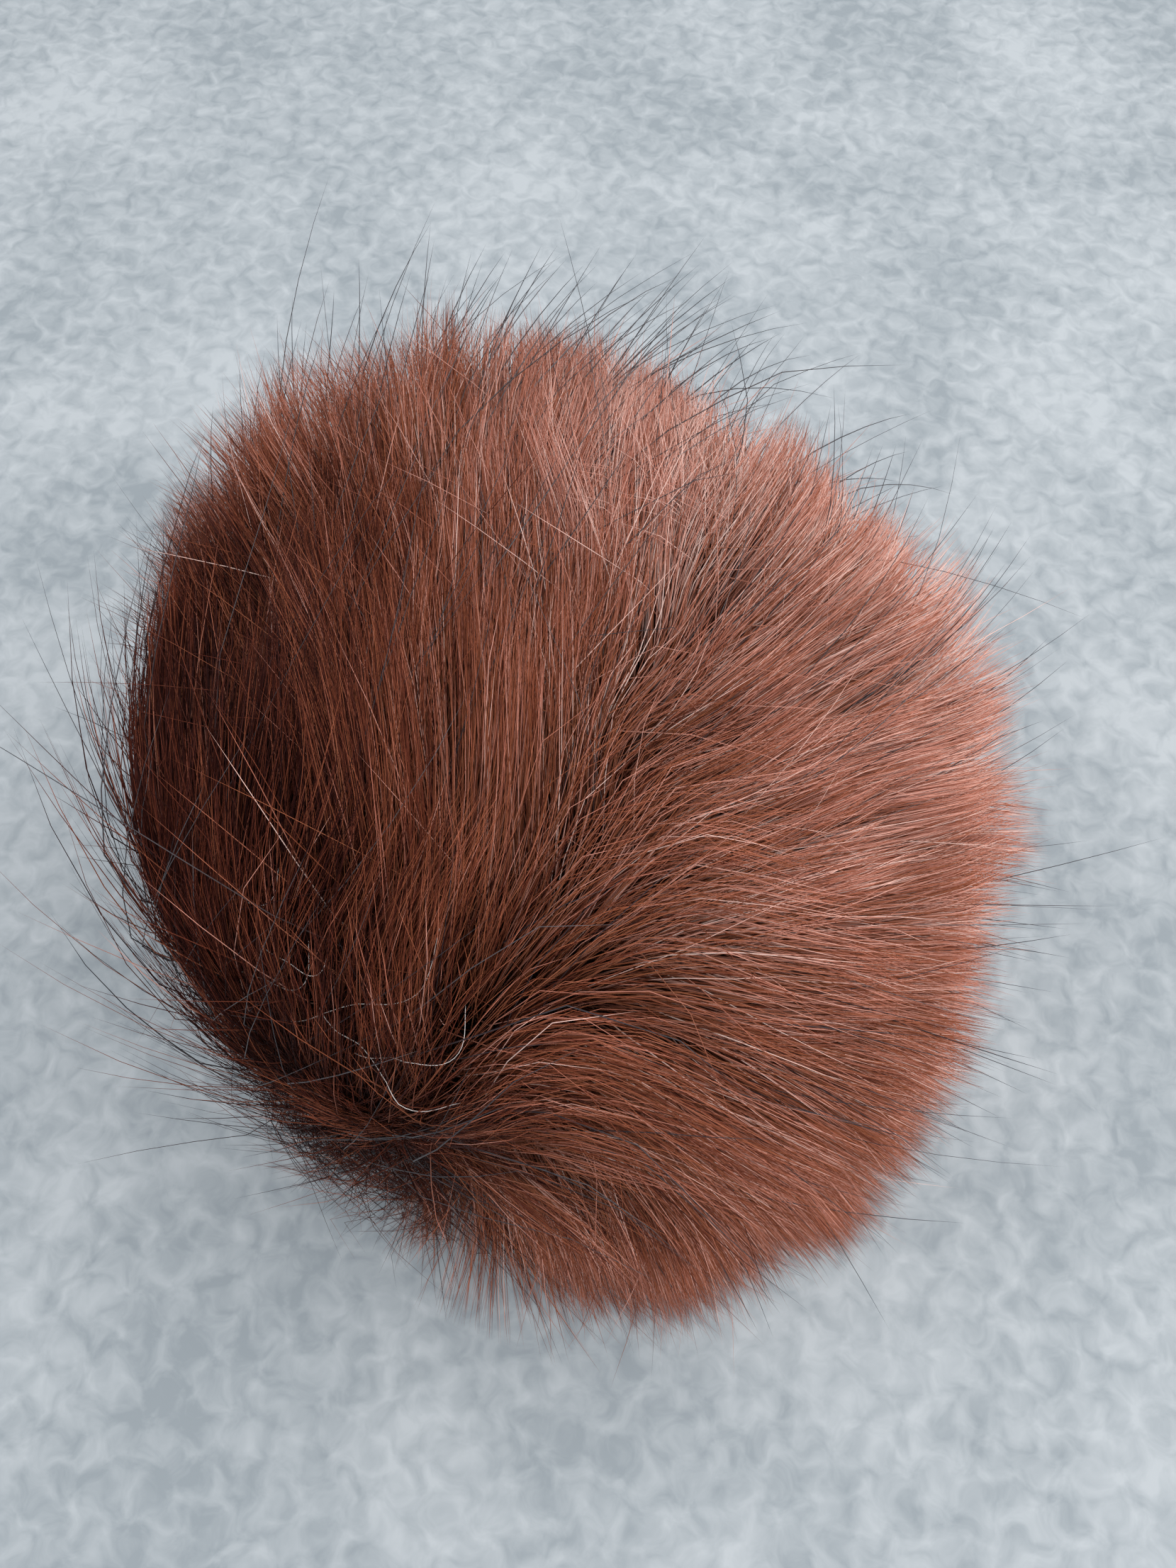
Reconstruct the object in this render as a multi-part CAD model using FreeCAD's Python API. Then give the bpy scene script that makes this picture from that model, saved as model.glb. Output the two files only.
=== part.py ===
"""Furry windscreen for a hand-held recorder: a fur cover that pulls off a foam core.

Frame: +Z up, origin on the standing surface under the middle of the body.
The mouth faces down. The centre seam lies in the plane X = 0 and its front end is at -Y.
All sizes are in millimetres.
"""

import FreeCAD
import Part
import collections
import functools
import math
import os

# Foam core: a drafted block with rounded corners and a rounded crown
CORE_WIDTH = 80.0
CORE_DEPTH = 84.0
CORE_HEIGHT = 72.0
CORE_CORNER_RADIUS = 32.0
CROWN_RADIUS = 22.0
WALL_DRAFT_DEG = 5.0
CROWN_PAD_HEIGHT = 16.0
CORNER_PANELS = 4
CROWN_CUTS = 4

# Cavity for the recorder's microphone head, and what lines it
CAVITY_WIDTH = 58.0
CAVITY_DEPTH = 36.0
CAVITY_CORNER_RADIUS = 10.0
SLEEVE_THICKNESS = 0.8

# Rubber grip ring in the mouth, and the felt facing round it
GRIP_WALL = 2.0
GRIP_HEIGHT = 9.0
GRIP_FLANGE_WIDTH = 6.0
GRIP_LIP_PROUD = 1.2
GRIP_LIP_THICKNESS = 1.4
GRIP_LIP_COUNT = 1
FACING_THICKNESS = 1.6

# Cover layers, from the foam outwards
PULL_GAP = 0.5
LINING_THICKNESS = 0.8
BACKING_THICKNESS = 1.4

# Fur: its depth on the crown, where it stands out at both ends of the nap, and where it lies flat
PILE_CROWN = 15.5
PILE_STANDING = 19.0
PILE_LYING = 3.5
NAP_TURN_DEG = -36.0
NAP_END_FLAT = 1.0
NAP_CROWN_RADIUS = 37.0

# Centre seam
SEAM_TAPE_WIDTH = 10.0
PARTING_DEPTH = 3.0
PARTING_WIDTH = 2.4

# Gathered hem
HEM_HEIGHT = 8.0
HEM_TAPE_THICKNESS = 0.8
ELASTIC_THICKNESS = 1.4
ELASTIC_WIDTH = 5.0
ELASTIC_OVERLAP = 18.0
PLEAT_COUNT = 5
PLEAT_PITCH = 4.0
PLEAT_WIDTH = 1.8
PLEAT_PROUD = 2.2
PLEAT_FAN_DEG = 9.0
PLEAT_MARGIN = 0.4

# Lower edge of the pile and the dimple that the gather pulls into it
PILE_LIFT = 1.0
PILE_TUCK_RADIUS = 11.0
DIMPLE_RADIUS = 16.0
DIMPLE_DEPTH = 7.0
DIMPLE_HEIGHT = 22.0

# Room that a cutting block runs past the solid it cuts
PAST = 40.0

LINING_OUT = PULL_GAP + LINING_THICKNESS
BACKING_OUT = LINING_OUT + BACKING_THICKNESS
CROWN_OUT = BACKING_OUT + PILE_CROWN
ELASTIC_IN = PULL_GAP + HEM_TAPE_THICKNESS
ELASTIC_OUT = ELASTIC_IN + ELASTIC_THICKNESS
JOIN_OUT = ELASTIC_OUT + ELASTIC_THICKNESS
HEM_OUT = JOIN_OUT + HEM_TAPE_THICKNESS
CROWN_PAD_BASE = CORE_HEIGHT - CROWN_PAD_HEIGHT
ROOM = CORE_WIDTH + CORE_DEPTH + CORE_HEIGHT

Block = collections.namedtuple("Block", "width depth height corner_radius crown_radius draft_deg turn_deg")
CORE = Block(
    CORE_WIDTH, CORE_DEPTH, CORE_HEIGHT, CORE_CORNER_RADIUS, CROWN_RADIUS, WALL_DRAFT_DEG, 0.0
)


def rounded_rectangle(half_x, half_y, radius, z):
    """Closed wire of four straight sides and four quarter arcs, centred on the Z axis."""
    across = half_x - radius
    along = half_y - radius
    edges = []
    for turn, (centre_x, centre_y) in enumerate(
        ((across, along), (-across, along), (-across, -along), (across, -along))
    ):
        centre = FreeCAD.Vector(centre_x, centre_y, z)
        arc = [centre + spoke(radius, 90.0 * turn + step) for step in (0.0, 45.0, 90.0)]
        edges.append(Part.Arc(*arc).toShape())
    joined = []
    for index, arc_edge in enumerate(edges):
        following = edges[(index + 1) % len(edges)]
        joined.append(arc_edge)
        joined.append(Part.makeLine(arc_edge.lastVertex().Point, following.firstVertex().Point))
    return Part.Wire(joined)


def spoke(radius, angle_deg):
    """Vector of the given length in the XY plane, at an angle from +X."""
    angle = math.radians(angle_deg)
    return FreeCAD.Vector(radius * math.cos(angle), radius * math.sin(angle), 0.0)


def wall_profile(block, reach, growth, low, low_radius, cuts):
    """Upright face in the XZ plane: drafted walls, a turned crown and, if asked, rounded lower edges.

    `reach` is the distance from the Z axis to the wall where it would meet z = 0.
    """
    lean = math.tan(math.radians(block.draft_deg))
    slope = math.cos(math.radians(block.draft_deg))
    top = block.height + growth
    crown = block.crown_radius + growth
    right = []
    start = FreeCAD.Vector(reach - low * lean, 0.0, low)
    if low_radius > 0.0:
        height = low + low_radius
        middle = reach - height * lean - low_radius / slope
        right += turned_edge(middle, height, low_radius, (-90.0, block.draft_deg), 0)
        start = FreeCAD.Vector(middle, 0.0, low)
    height = top - crown
    middle = reach - height * lean - crown / slope
    turned = turned_edge(middle, height, crown, (block.draft_deg, 90.0), cuts)
    wall_foot = right[-1].lastVertex().Point if right else start
    right.append(Part.makeLine(wall_foot, turned[0].firstVertex().Point))
    right += turned
    head = FreeCAD.Vector(middle, 0.0, top)
    left = [edge.mirror(FreeCAD.Vector(0, 0, 0), FreeCAD.Vector(1, 0, 0)) for edge in right]
    closing = [Part.makeLine(head, across(head)), Part.makeLine(across(start), start)]
    loops = Part.sortEdges(right + left + closing)
    return Part.Face(Part.Wire(loops[0]))


def turned_edge(centre_x, centre_z, radius, angles_deg, cuts):
    """Edges that turn a profile about a centre in the XZ plane: one arc, or a number of flat cuts."""
    start_deg, end_deg = angles_deg
    steps = max(cuts, 2)
    points = []
    for step in range(steps + 1):
        angle = math.radians(start_deg + (end_deg - start_deg) * step / steps)
        along = centre_x + radius * math.cos(angle)
        points.append(FreeCAD.Vector(along, 0.0, centre_z + radius * math.sin(angle)))
    if cuts == 0:
        return [Part.Arc(*points).toShape()]
    return [Part.makeLine(*pair) for pair in zip(points, points[1:])]


def across(point):
    """The point's mirror image in the plane X = 0."""
    return FreeCAD.Vector(-point.x, point.y, point.z)


def wall_reach(block, growth, turn_deg):
    """Distance from the Z axis to a block's wall at z = 0, measured square to the wall."""
    turn = math.radians(turn_deg)
    reach = block.corner_radius + growth / math.cos(math.radians(block.draft_deg))
    reach += (block.width / 2 - block.corner_radius) * abs(math.cos(turn))
    return reach + (block.depth / 2 - block.corner_radius) * abs(math.sin(turn))


@functools.lru_cache(maxsize=None)
def body_form(growth, low=0.0, low_radius=0.0, cuts=CROWN_CUTS, block=CORE):
    """A block's outline grown by `growth` on every side, from `low` up.

    It is where a ring of extruded profiles meet, as in foam cut by a wire from many sides. The
    crown turns in flat cuts, or in one arc where `cuts` is 0. Every layer under the fur lies
    between two of the core's forms, so the layers stay parallel.
    """
    half_turn = 2 * (CORNER_PANELS + 1)
    form = None
    for number in range(half_turn):
        turn_deg = 180.0 * number / half_turn
        bar = wall_profile(block, wall_reach(block, growth, turn_deg), growth, low, low_radius, cuts)
        bar = bar.extrude(FreeCAD.Vector(0, 2 * ROOM, 0))
        bar.translate(FreeCAD.Vector(0, -ROOM, 0))
        bar.rotate(FreeCAD.Vector(0, 0, 0), FreeCAD.Vector(0, 0, 1), turn_deg + block.turn_deg)
        form = bar if form is None else form.common(bar)
    return form


def slab(low, high):
    """Wide block between two heights, for keeping one level of a form."""
    block = Part.makeBox(2 * ROOM, 2 * ROOM, high - low)
    block.translate(FreeCAD.Vector(-ROOM, -ROOM, low))
    return block


def side_block(sign, start=0.0):
    """Block that holds one side of the seam plane, from `start` away from it."""
    block = Part.makeBox(ROOM, 2 * ROOM, 2 * ROOM)
    block.translate(FreeCAD.Vector(start, -ROOM, -ROOM))
    if sign < 0:
        block = block.mirror(FreeCAD.Vector(0, 0, 0), FreeCAD.Vector(1, 0, 0))
    return block


def layer(inner, outer, low, high):
    """What lies between two forms and between two heights."""
    return body_form(outer).cut(body_form(inner)).common(slab(low, high))


def slot_prism(grown, low, high):
    """Rounded slot of the cavity's outline, grown all round, between two heights."""
    wire = rounded_rectangle(
        CAVITY_WIDTH / 2 + grown, CAVITY_DEPTH / 2 + grown, CAVITY_CORNER_RADIUS + grown, low
    )
    return Part.Face(wire).extrude(FreeCAD.Vector(0, 0, high - low))


# ---------------------------------------------------------------- foam core


def grip_ring():
    """Rubber collar: a flange under the foam, a neck in the cavity and lips that hold the recorder."""
    flange = slot_prism(GRIP_FLANGE_WIDTH, 0.0, FACING_THICKNESS)
    neck = slot_prism(GRIP_WALL, 0.0, GRIP_HEIGHT)
    ring = flange.fuse(neck).cut(slot_prism(0.0, -PAST, GRIP_HEIGHT + PAST))
    pitch = GRIP_HEIGHT / (GRIP_LIP_COUNT + 1)
    for number in range(GRIP_LIP_COUNT):
        ring = ring.fuse(grip_lip(pitch * (number + 1)))
    return ring.removeSplitter()


def grip_lip(height):
    """One lip: a flat rib round the inside of the neck."""
    low = height - GRIP_LIP_THICKNESS / 2
    rib = slot_prism(0.0, low, low + GRIP_LIP_THICKNESS)
    return rib.cut(slot_prism(-GRIP_LIP_PROUD, 0.0, GRIP_HEIGHT))


def base_facing():
    """Felt sheet under the foam, from the grip ring's flange to the core's edge."""
    sheet = body_form(0.0).common(slab(0.0, FACING_THICKNESS))
    return sheet.cut(slot_prism(GRIP_FLANGE_WIDTH, -PAST, PAST))


def foam_body():
    """Foam below the crown pad, with the cavity and the grip ring's seat taken out."""
    foam = body_form(0.0).common(slab(FACING_THICKNESS, CROWN_PAD_BASE))
    foam = foam.cut(slot_prism(SLEEVE_THICKNESS, -PAST, CROWN_PAD_BASE + PAST))
    return foam.cut(slot_prism(GRIP_WALL, -PAST, GRIP_HEIGHT))


def foam_half(front):
    """Front or rear half of the foam, parted along the cavity's middle."""
    block = Part.makeBox(2 * ROOM, ROOM, ROOM)
    block.translate(FreeCAD.Vector(-ROOM, -ROOM if front else 0.0, 0.0))
    return foam_body().common(block)


def foam_crown_pad():
    """Pad glued on both halves, which closes the cavity."""
    return body_form(0.0).common(slab(CROWN_PAD_BASE, CORE_HEIGHT + PAST))


def cavity_sleeve():
    """Knitted mesh that lines the cavity above the grip ring."""
    high = CROWN_PAD_BASE - SLEEVE_THICKNESS
    outer = slot_prism(SLEEVE_THICKNESS, GRIP_HEIGHT, high)
    return outer.cut(slot_prism(0.0, 0.0, CORE_HEIGHT))


def cavity_cap():
    """Mesh panel over the cavity's closed end."""
    return slot_prism(SLEEVE_THICKNESS, CROWN_PAD_BASE - SLEEVE_THICKNESS, CROWN_PAD_BASE)


# ---------------------------------------------------------------- hem


def hem_channel():
    """Folded tape round the mouth: a closed flat tube with room for the elastic."""
    outer = body_form(HEM_OUT).common(slab(0.0, HEM_HEIGHT))
    room = layer(ELASTIC_IN, JOIN_OUT, HEM_TAPE_THICKNESS, HEM_HEIGHT - HEM_TAPE_THICKNESS)
    return outer.cut(body_form(PULL_GAP)).cut(room)


def elastic_band():
    """Flat elastic that lies against the channel's inner wall."""
    low = (HEM_HEIGHT - ELASTIC_WIDTH) / 2
    return layer(ELASTIC_IN, ELASTIC_OUT, low, low + ELASTIC_WIDTH)


def elastic_join():
    """Overlapped end of the elastic, tacked at the front of the mouth."""
    low = (HEM_HEIGHT - ELASTIC_WIDTH) / 2
    lap = layer(ELASTIC_OUT, JOIN_OUT, low, low + ELASTIC_WIDTH)
    window = Part.makeBox(ELASTIC_OVERLAP, ROOM, HEM_HEIGHT)
    window.translate(FreeCAD.Vector(-ELASTIC_OVERLAP / 2, -ROOM, 0.0))
    return lap.common(window)


def pleat_window(number):
    """Tall thin block that fans out from the middle of the gather."""
    place = number - (PLEAT_COUNT - 1) / 2
    block = Part.makeBox(PLEAT_WIDTH, ROOM, 2 * HEM_HEIGHT)
    block.translate(FreeCAD.Vector(-PLEAT_WIDTH / 2, -ROOM, -HEM_HEIGHT / 2))
    block.rotate(FreeCAD.Vector(0, 0, 0), FreeCAD.Vector(0, 1, 0), PLEAT_FAN_DEG * place)
    block.translate(FreeCAD.Vector(PLEAT_PITCH * place, 0.0, 0.0))
    return block


def gather_tuck():
    """Pleats of hem tape, drawn together over the elastic's join."""
    crease = layer(HEM_OUT, HEM_OUT + PLEAT_PROUD, PILE_LIFT, HEM_HEIGHT)
    pleats = [crease.common(pleat_window(number)) for number in range(PLEAT_COUNT)]
    return Part.makeCompound([solid for pleat in pleats for solid in pleat.Solids])


# ---------------------------------------------------------------- cover


def lining_panel(sign):
    """Acoustic knit inside one panel, up to the seam tape."""
    shell = layer(PULL_GAP, LINING_OUT, HEM_HEIGHT, CORE_HEIGHT + PAST)
    return shell.common(side_block(sign, SEAM_TAPE_WIDTH / 2))


def seam_tape():
    """Binding over the seam allowance, from the hem in front over the crown to the hem behind."""
    shell = layer(PULL_GAP, LINING_OUT, HEM_HEIGHT, CORE_HEIGHT + PAST)
    return shell.cut(side_block(1, SEAM_TAPE_WIDTH / 2)).cut(side_block(-1, SEAM_TAPE_WIDTH / 2))


def backing_panel(sign):
    """Knitted ground fabric of one fur panel."""
    shell = layer(LINING_OUT, BACKING_OUT, HEM_HEIGHT, CORE_HEIGHT + PAST)
    return shell.common(side_block(sign))


def fur_outside(sunk=0.0):
    """Outer form of the fur, or the same form sunk into it.

    The nap is combed along a slanting line, so the fur stands out at both ends of that line and
    lies nearly flat on both sides of it.
    """
    half_length = wall_reach(CORE, BACKING_OUT, NAP_TURN_DEG) + PILE_STANDING
    half_width = wall_reach(CORE, BACKING_OUT, NAP_TURN_DEG + 90.0) + PILE_LYING
    combed = Block(
        2 * half_length,
        2 * half_width,
        CORE_HEIGHT + CROWN_OUT,
        half_width - NAP_END_FLAT,
        NAP_CROWN_RADIUS,
        0.0,
        NAP_TURN_DEG,
    )
    return body_form(-sunk, PILE_LIFT, PILE_TUCK_RADIUS, 0, combed)


def gather_dimple():
    """Ball that sinks into the front of the fur where the hem is drawn in."""
    probe = Part.makeLine(
        FreeCAD.Vector(0.0, 0.0, DIMPLE_HEIGHT), FreeCAD.Vector(0.0, -ROOM, DIMPLE_HEIGHT)
    )
    face = fur_outside().common(probe).BoundBox.YMin
    middle = FreeCAD.Vector(0.0, face + DIMPLE_DEPTH - DIMPLE_RADIUS, DIMPLE_HEIGHT)
    return Part.makeSphere(DIMPLE_RADIUS, middle)


def pleat_room():
    """Space for the pleats behind the fur."""
    room = layer(HEM_OUT, HEM_OUT + PLEAT_PROUD, 0.0, HEM_HEIGHT)
    outermost = (PLEAT_COUNT - 1) / 2
    spread = HEM_HEIGHT * math.tan(math.radians(PLEAT_FAN_DEG * outermost))
    width = 2 * (PLEAT_PITCH * outermost + PLEAT_WIDTH + spread + PLEAT_MARGIN)
    window = Part.makeBox(width, ROOM, HEM_HEIGHT)
    window.translate(FreeCAD.Vector(-width / 2, -ROOM, 0.0))
    return room.common(window)


def parting():
    """Furrow along the seam, between the fur's outer form and one sunk into it."""
    window = slab(0.0, ROOM)
    for sign in (1, -1):
        window = window.cut(side_block(sign, PARTING_WIDTH / 2))
    return fur_outside().cut(fur_outside(PARTING_DEPTH)).common(window)


def pile_panel(sign):
    """Standing fur of one panel."""
    half = fur_outside().common(side_block(sign))
    half = half.cut(body_form(BACKING_OUT))
    half = half.cut(body_form(HEM_OUT).common(slab(-PAST, HEM_HEIGHT)))
    return half.cut(parting()).cut(pleat_room()).cut(gather_dimple())


def build():
    """All pieces by node name."""
    pieces = {
        "foam_front_half": foam_half(True),
        "foam_rear_half": foam_half(False),
        "foam_crown_pad": foam_crown_pad(),
        "cavity_sleeve": cavity_sleeve(),
        "cavity_cap": cavity_cap(),
        "grip_ring": grip_ring(),
        "base_facing": base_facing(),
        "hem_channel": hem_channel(),
        "hem_elastic": elastic_band(),
        "elastic_join": elastic_join(),
        "gather_tuck": gather_tuck(),
        "seam_tape": seam_tape(),
    }
    for name, sign in (("left", -1), ("right", 1)):
        pieces[name + "_lining"] = lining_panel(sign)
        pieces[name + "_backing"] = backing_panel(sign)
        pieces[name + "_pile"] = pile_panel(sign)
    return pieces


def main():
    """Write one STEP file per piece."""
    os.makedirs("parts", exist_ok=True)
    for name, shape in build().items():
        box = shape.BoundBox
        print(
            f"{name:16s} solids {len(shape.Solids)} faces {len(shape.Faces)} valid {shape.isValid()}"
            f" volume {shape.Volume:.0f} z {box.ZMin:.2f} to {box.ZMax:.2f}"
        )
        shape.exportStep(os.path.join("parts", name + ".step"))


main()
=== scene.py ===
"""Looks of a furry windscreen for a hand-held recorder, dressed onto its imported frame.

The fur is made of real strands, grown from the backing and combed panel by panel. The foam core,
its mouth fittings, the sewn cover and the gathered hem are modelled under it. Sizes are in metres.
"""

import logging
import math
from dataclasses import dataclass, field
from enum import Enum
from typing import Dict, List, Sequence, Tuple, Union

import bmesh
import bpy
import numpy as np
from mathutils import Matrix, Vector, kdtree, noise
from mathutils.bvhtree import BVHTree


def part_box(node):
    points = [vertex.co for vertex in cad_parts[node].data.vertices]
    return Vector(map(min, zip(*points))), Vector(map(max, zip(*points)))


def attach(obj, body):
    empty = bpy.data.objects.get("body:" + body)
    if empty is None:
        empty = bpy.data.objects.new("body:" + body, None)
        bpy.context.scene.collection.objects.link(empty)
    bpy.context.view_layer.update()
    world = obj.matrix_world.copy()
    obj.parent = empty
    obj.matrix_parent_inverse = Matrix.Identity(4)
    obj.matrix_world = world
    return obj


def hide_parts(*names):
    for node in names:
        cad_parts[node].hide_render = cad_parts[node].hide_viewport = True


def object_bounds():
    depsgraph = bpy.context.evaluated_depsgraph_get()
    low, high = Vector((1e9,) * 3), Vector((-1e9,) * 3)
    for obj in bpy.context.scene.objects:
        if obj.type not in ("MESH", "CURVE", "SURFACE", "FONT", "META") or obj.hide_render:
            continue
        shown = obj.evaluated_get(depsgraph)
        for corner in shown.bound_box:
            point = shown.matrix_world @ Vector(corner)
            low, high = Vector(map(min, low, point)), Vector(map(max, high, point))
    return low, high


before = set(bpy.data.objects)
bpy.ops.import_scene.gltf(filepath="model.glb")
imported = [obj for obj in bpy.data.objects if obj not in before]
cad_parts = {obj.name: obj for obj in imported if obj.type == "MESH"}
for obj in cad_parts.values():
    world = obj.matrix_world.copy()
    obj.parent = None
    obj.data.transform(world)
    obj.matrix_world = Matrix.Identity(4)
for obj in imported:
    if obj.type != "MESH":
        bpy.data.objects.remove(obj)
CAD_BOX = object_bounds()
LOG = logging.getLogger("windscreen")

MM = 0.001
UP = np.array([0.0, 0.0, 1.0])
Colour = Tuple[float, float, float]
BLACK: Colour = (0.0, 0.0, 0.0)
WHITE: Colour = (1.0, 1.0, 1.0)
STRAND_MAP = "OFBake"
CORNER_STEPS = 3


class Body(Enum):
    """The two bodies that the pieces ride on."""

    CORE = "foam_core"
    COVER = "fur_cover"


class Side(Enum):
    """The fur panels, by the sign of X on their side of the centre seam."""

    LEFT = -1
    RIGHT = 1

    @property
    def word(self) -> str:
        """Lower-case name, as the nodes use it."""
        return self.name.lower()


# ------------------------------------------------------------------ small tools


def unit(vectors: np.ndarray) -> np.ndarray:
    """Vectors scaled to length one along the last axis."""
    return vectors / np.maximum(np.linalg.norm(vectors, axis=-1, keepdims=True), 1e-12)


def smooth_step(value: np.ndarray) -> np.ndarray:
    """Cubic ease of a value held between 0 and 1."""
    held = np.clip(value, 0.0, 1.0)
    return held * held * (3.0 - 2.0 * held)


def noise_at(points: np.ndarray, scale: float, offset: float = 0.0) -> np.ndarray:
    """Smooth noise between about -1 and 1.

    Args:
        points: places in metres, one row each.
        scale: size of the noise's features in metres.
        offset: moves the pattern, so that two uses differ.

    Returns:
        One number per place.
    """
    shifted = points / scale + offset
    return np.array([noise.noise(Vector(p)) for p in shifted])


def add_object(name: str, mesh: bpy.types.Mesh, material: bpy.types.Material) -> bpy.types.Object:
    """Links a mesh to the scene under its name, with one material.

    Args:
        name: the object's name.
        mesh: its mesh.
        material: its finish.

    Returns:
        The object.
    """
    mesh.materials.append(material)
    made = bpy.data.objects.new(name, mesh)
    bpy.context.scene.collection.objects.link(made)
    return made


def mesh_from(name: str, points: np.ndarray, faces: Sequence[Sequence[int]]) -> bpy.types.Mesh:
    """Smooth-shaded mesh from points and faces, with its faces turned outwards.

    Args:
        name: the mesh's name.
        points: its points, one row each.
        faces: lists of point numbers.

    Returns:
        The mesh.
    """
    mesh = bpy.data.meshes.new(name)
    mesh.from_pydata(np.asarray(points, float).tolist(), [], [list(f) for f in faces])
    mesh.validate()
    bench = bmesh.new()
    bench.from_mesh(mesh)
    bmesh.ops.recalc_face_normals(bench, faces=bench.faces)
    bench.to_mesh(mesh)
    bench.free()
    mesh.shade_smooth()
    return mesh


def tube_faces(rings: int, around: int, closed_rows: bool = False) -> List[List[int]]:
    """Quads between rings of points, each ring closed on itself.

    Args:
        rings: number of rings.
        around: points in each ring.
        closed_rows: joins the last ring to the first, as in a ring-shaped sweep.

    Returns:
        Faces as lists of point numbers.
    """
    faces = []
    for row in range(rings if closed_rows else rings - 1):
        low = row * around
        high = ((row + 1) % rings) * around
        for col in range(around):
            nxt = (col + 1) % around
            faces.append([low + col, low + nxt, high + nxt, high + col])
    return faces


def swept(
    name: str,
    rings: Sequence[np.ndarray],
    closed_rows: bool,
    material: bpy.types.Material,
) -> bpy.types.Object:
    """Object whose skin runs through rings of points.

    Args:
        name: the object's name.
        rings: rings of equally many points, in order.
        closed_rows: joins the last ring to the first; otherwise both ends are capped.
        material: its finish.

    Returns:
        The object.
    """
    around = len(rings[0])
    faces = tube_faces(len(rings), around, closed_rows)
    if not closed_rows:
        last = (len(rings) - 1) * around
        faces.append(list(range(around)))
        faces.append(list(range(last, last + around)))
    return add_object(name, mesh_from(name, np.concatenate(rings), faces), material)


def settled(made: bpy.types.Object) -> bpy.types.Object:
    """Applies an object's modifiers to its mesh.

    Args:
        made: the object.

    Returns:
        The same object, on a plain mesh.
    """
    graph = bpy.context.evaluated_depsgraph_get()
    mesh = bpy.data.meshes.new_from_object(made.evaluated_get(graph))
    made.modifiers.clear()
    made.data = mesh
    return made


def fitted(made: bpy.types.Object, body: Body, nodes: Sequence[str] = ()) -> bpy.types.Object:
    """Args:
        made: the piece.
        body: the body it rides on.
        nodes: the nodes that it stands for.

    Returns:
        The piece.
    """
    if nodes:
        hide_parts(*nodes)
    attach(made, body.value)
    return made


def rounded_loop(corners: Sequence[Tuple[float, float]], radius: float) -> np.ndarray:
    """Closed profile with each corner rounded off.

    Args:
        corners: the sharp profile.
        radius: how far from a corner its curve starts, at most 0.45 of a side.

    Returns:
        Points of the rounded profile, one row each.
    """
    spots = np.asarray(corners, float)
    points = []
    for index, spot in enumerate(spots):
        before = spots[index - 1] - spot
        after = spots[(index + 1) % len(spots)] - spot
        first = spot + unit(before) * min(radius, 0.45 * float(np.linalg.norm(before)))
        last = spot + unit(after) * min(radius, 0.45 * float(np.linalg.norm(after)))
        for share in np.linspace(0.0, 1.0, CORNER_STEPS + 1):
            flat = (1.0 - share) ** 2 * first + 2.0 * share * (1.0 - share) * spot
            points.append(flat + share**2 * last)
    return np.array(points)


def box_loop(low: Tuple[float, float], high: Tuple[float, float], radius: float) -> np.ndarray:
    """Rounded rectangular profile between two corners."""
    corners = [low, (high[0], low[1]), high, (low[0], high[1])]
    return rounded_loop(corners, radius)


def line_length(points: np.ndarray) -> float:
    """Length of a line through points."""
    return float(np.linalg.norm(np.diff(points, axis=0), axis=1).sum())


def log_cut(made: bpy.types.Object, flat: Tuple[float, float]) -> None:
    """Logs the size that a piece of cloth is cut to."""
    LOG.info("%s: cut %.0f by %.0f mm", made.name, flat[0] / MM, flat[1] / MM)


# ------------------------------------------------------------------ node materials


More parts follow.
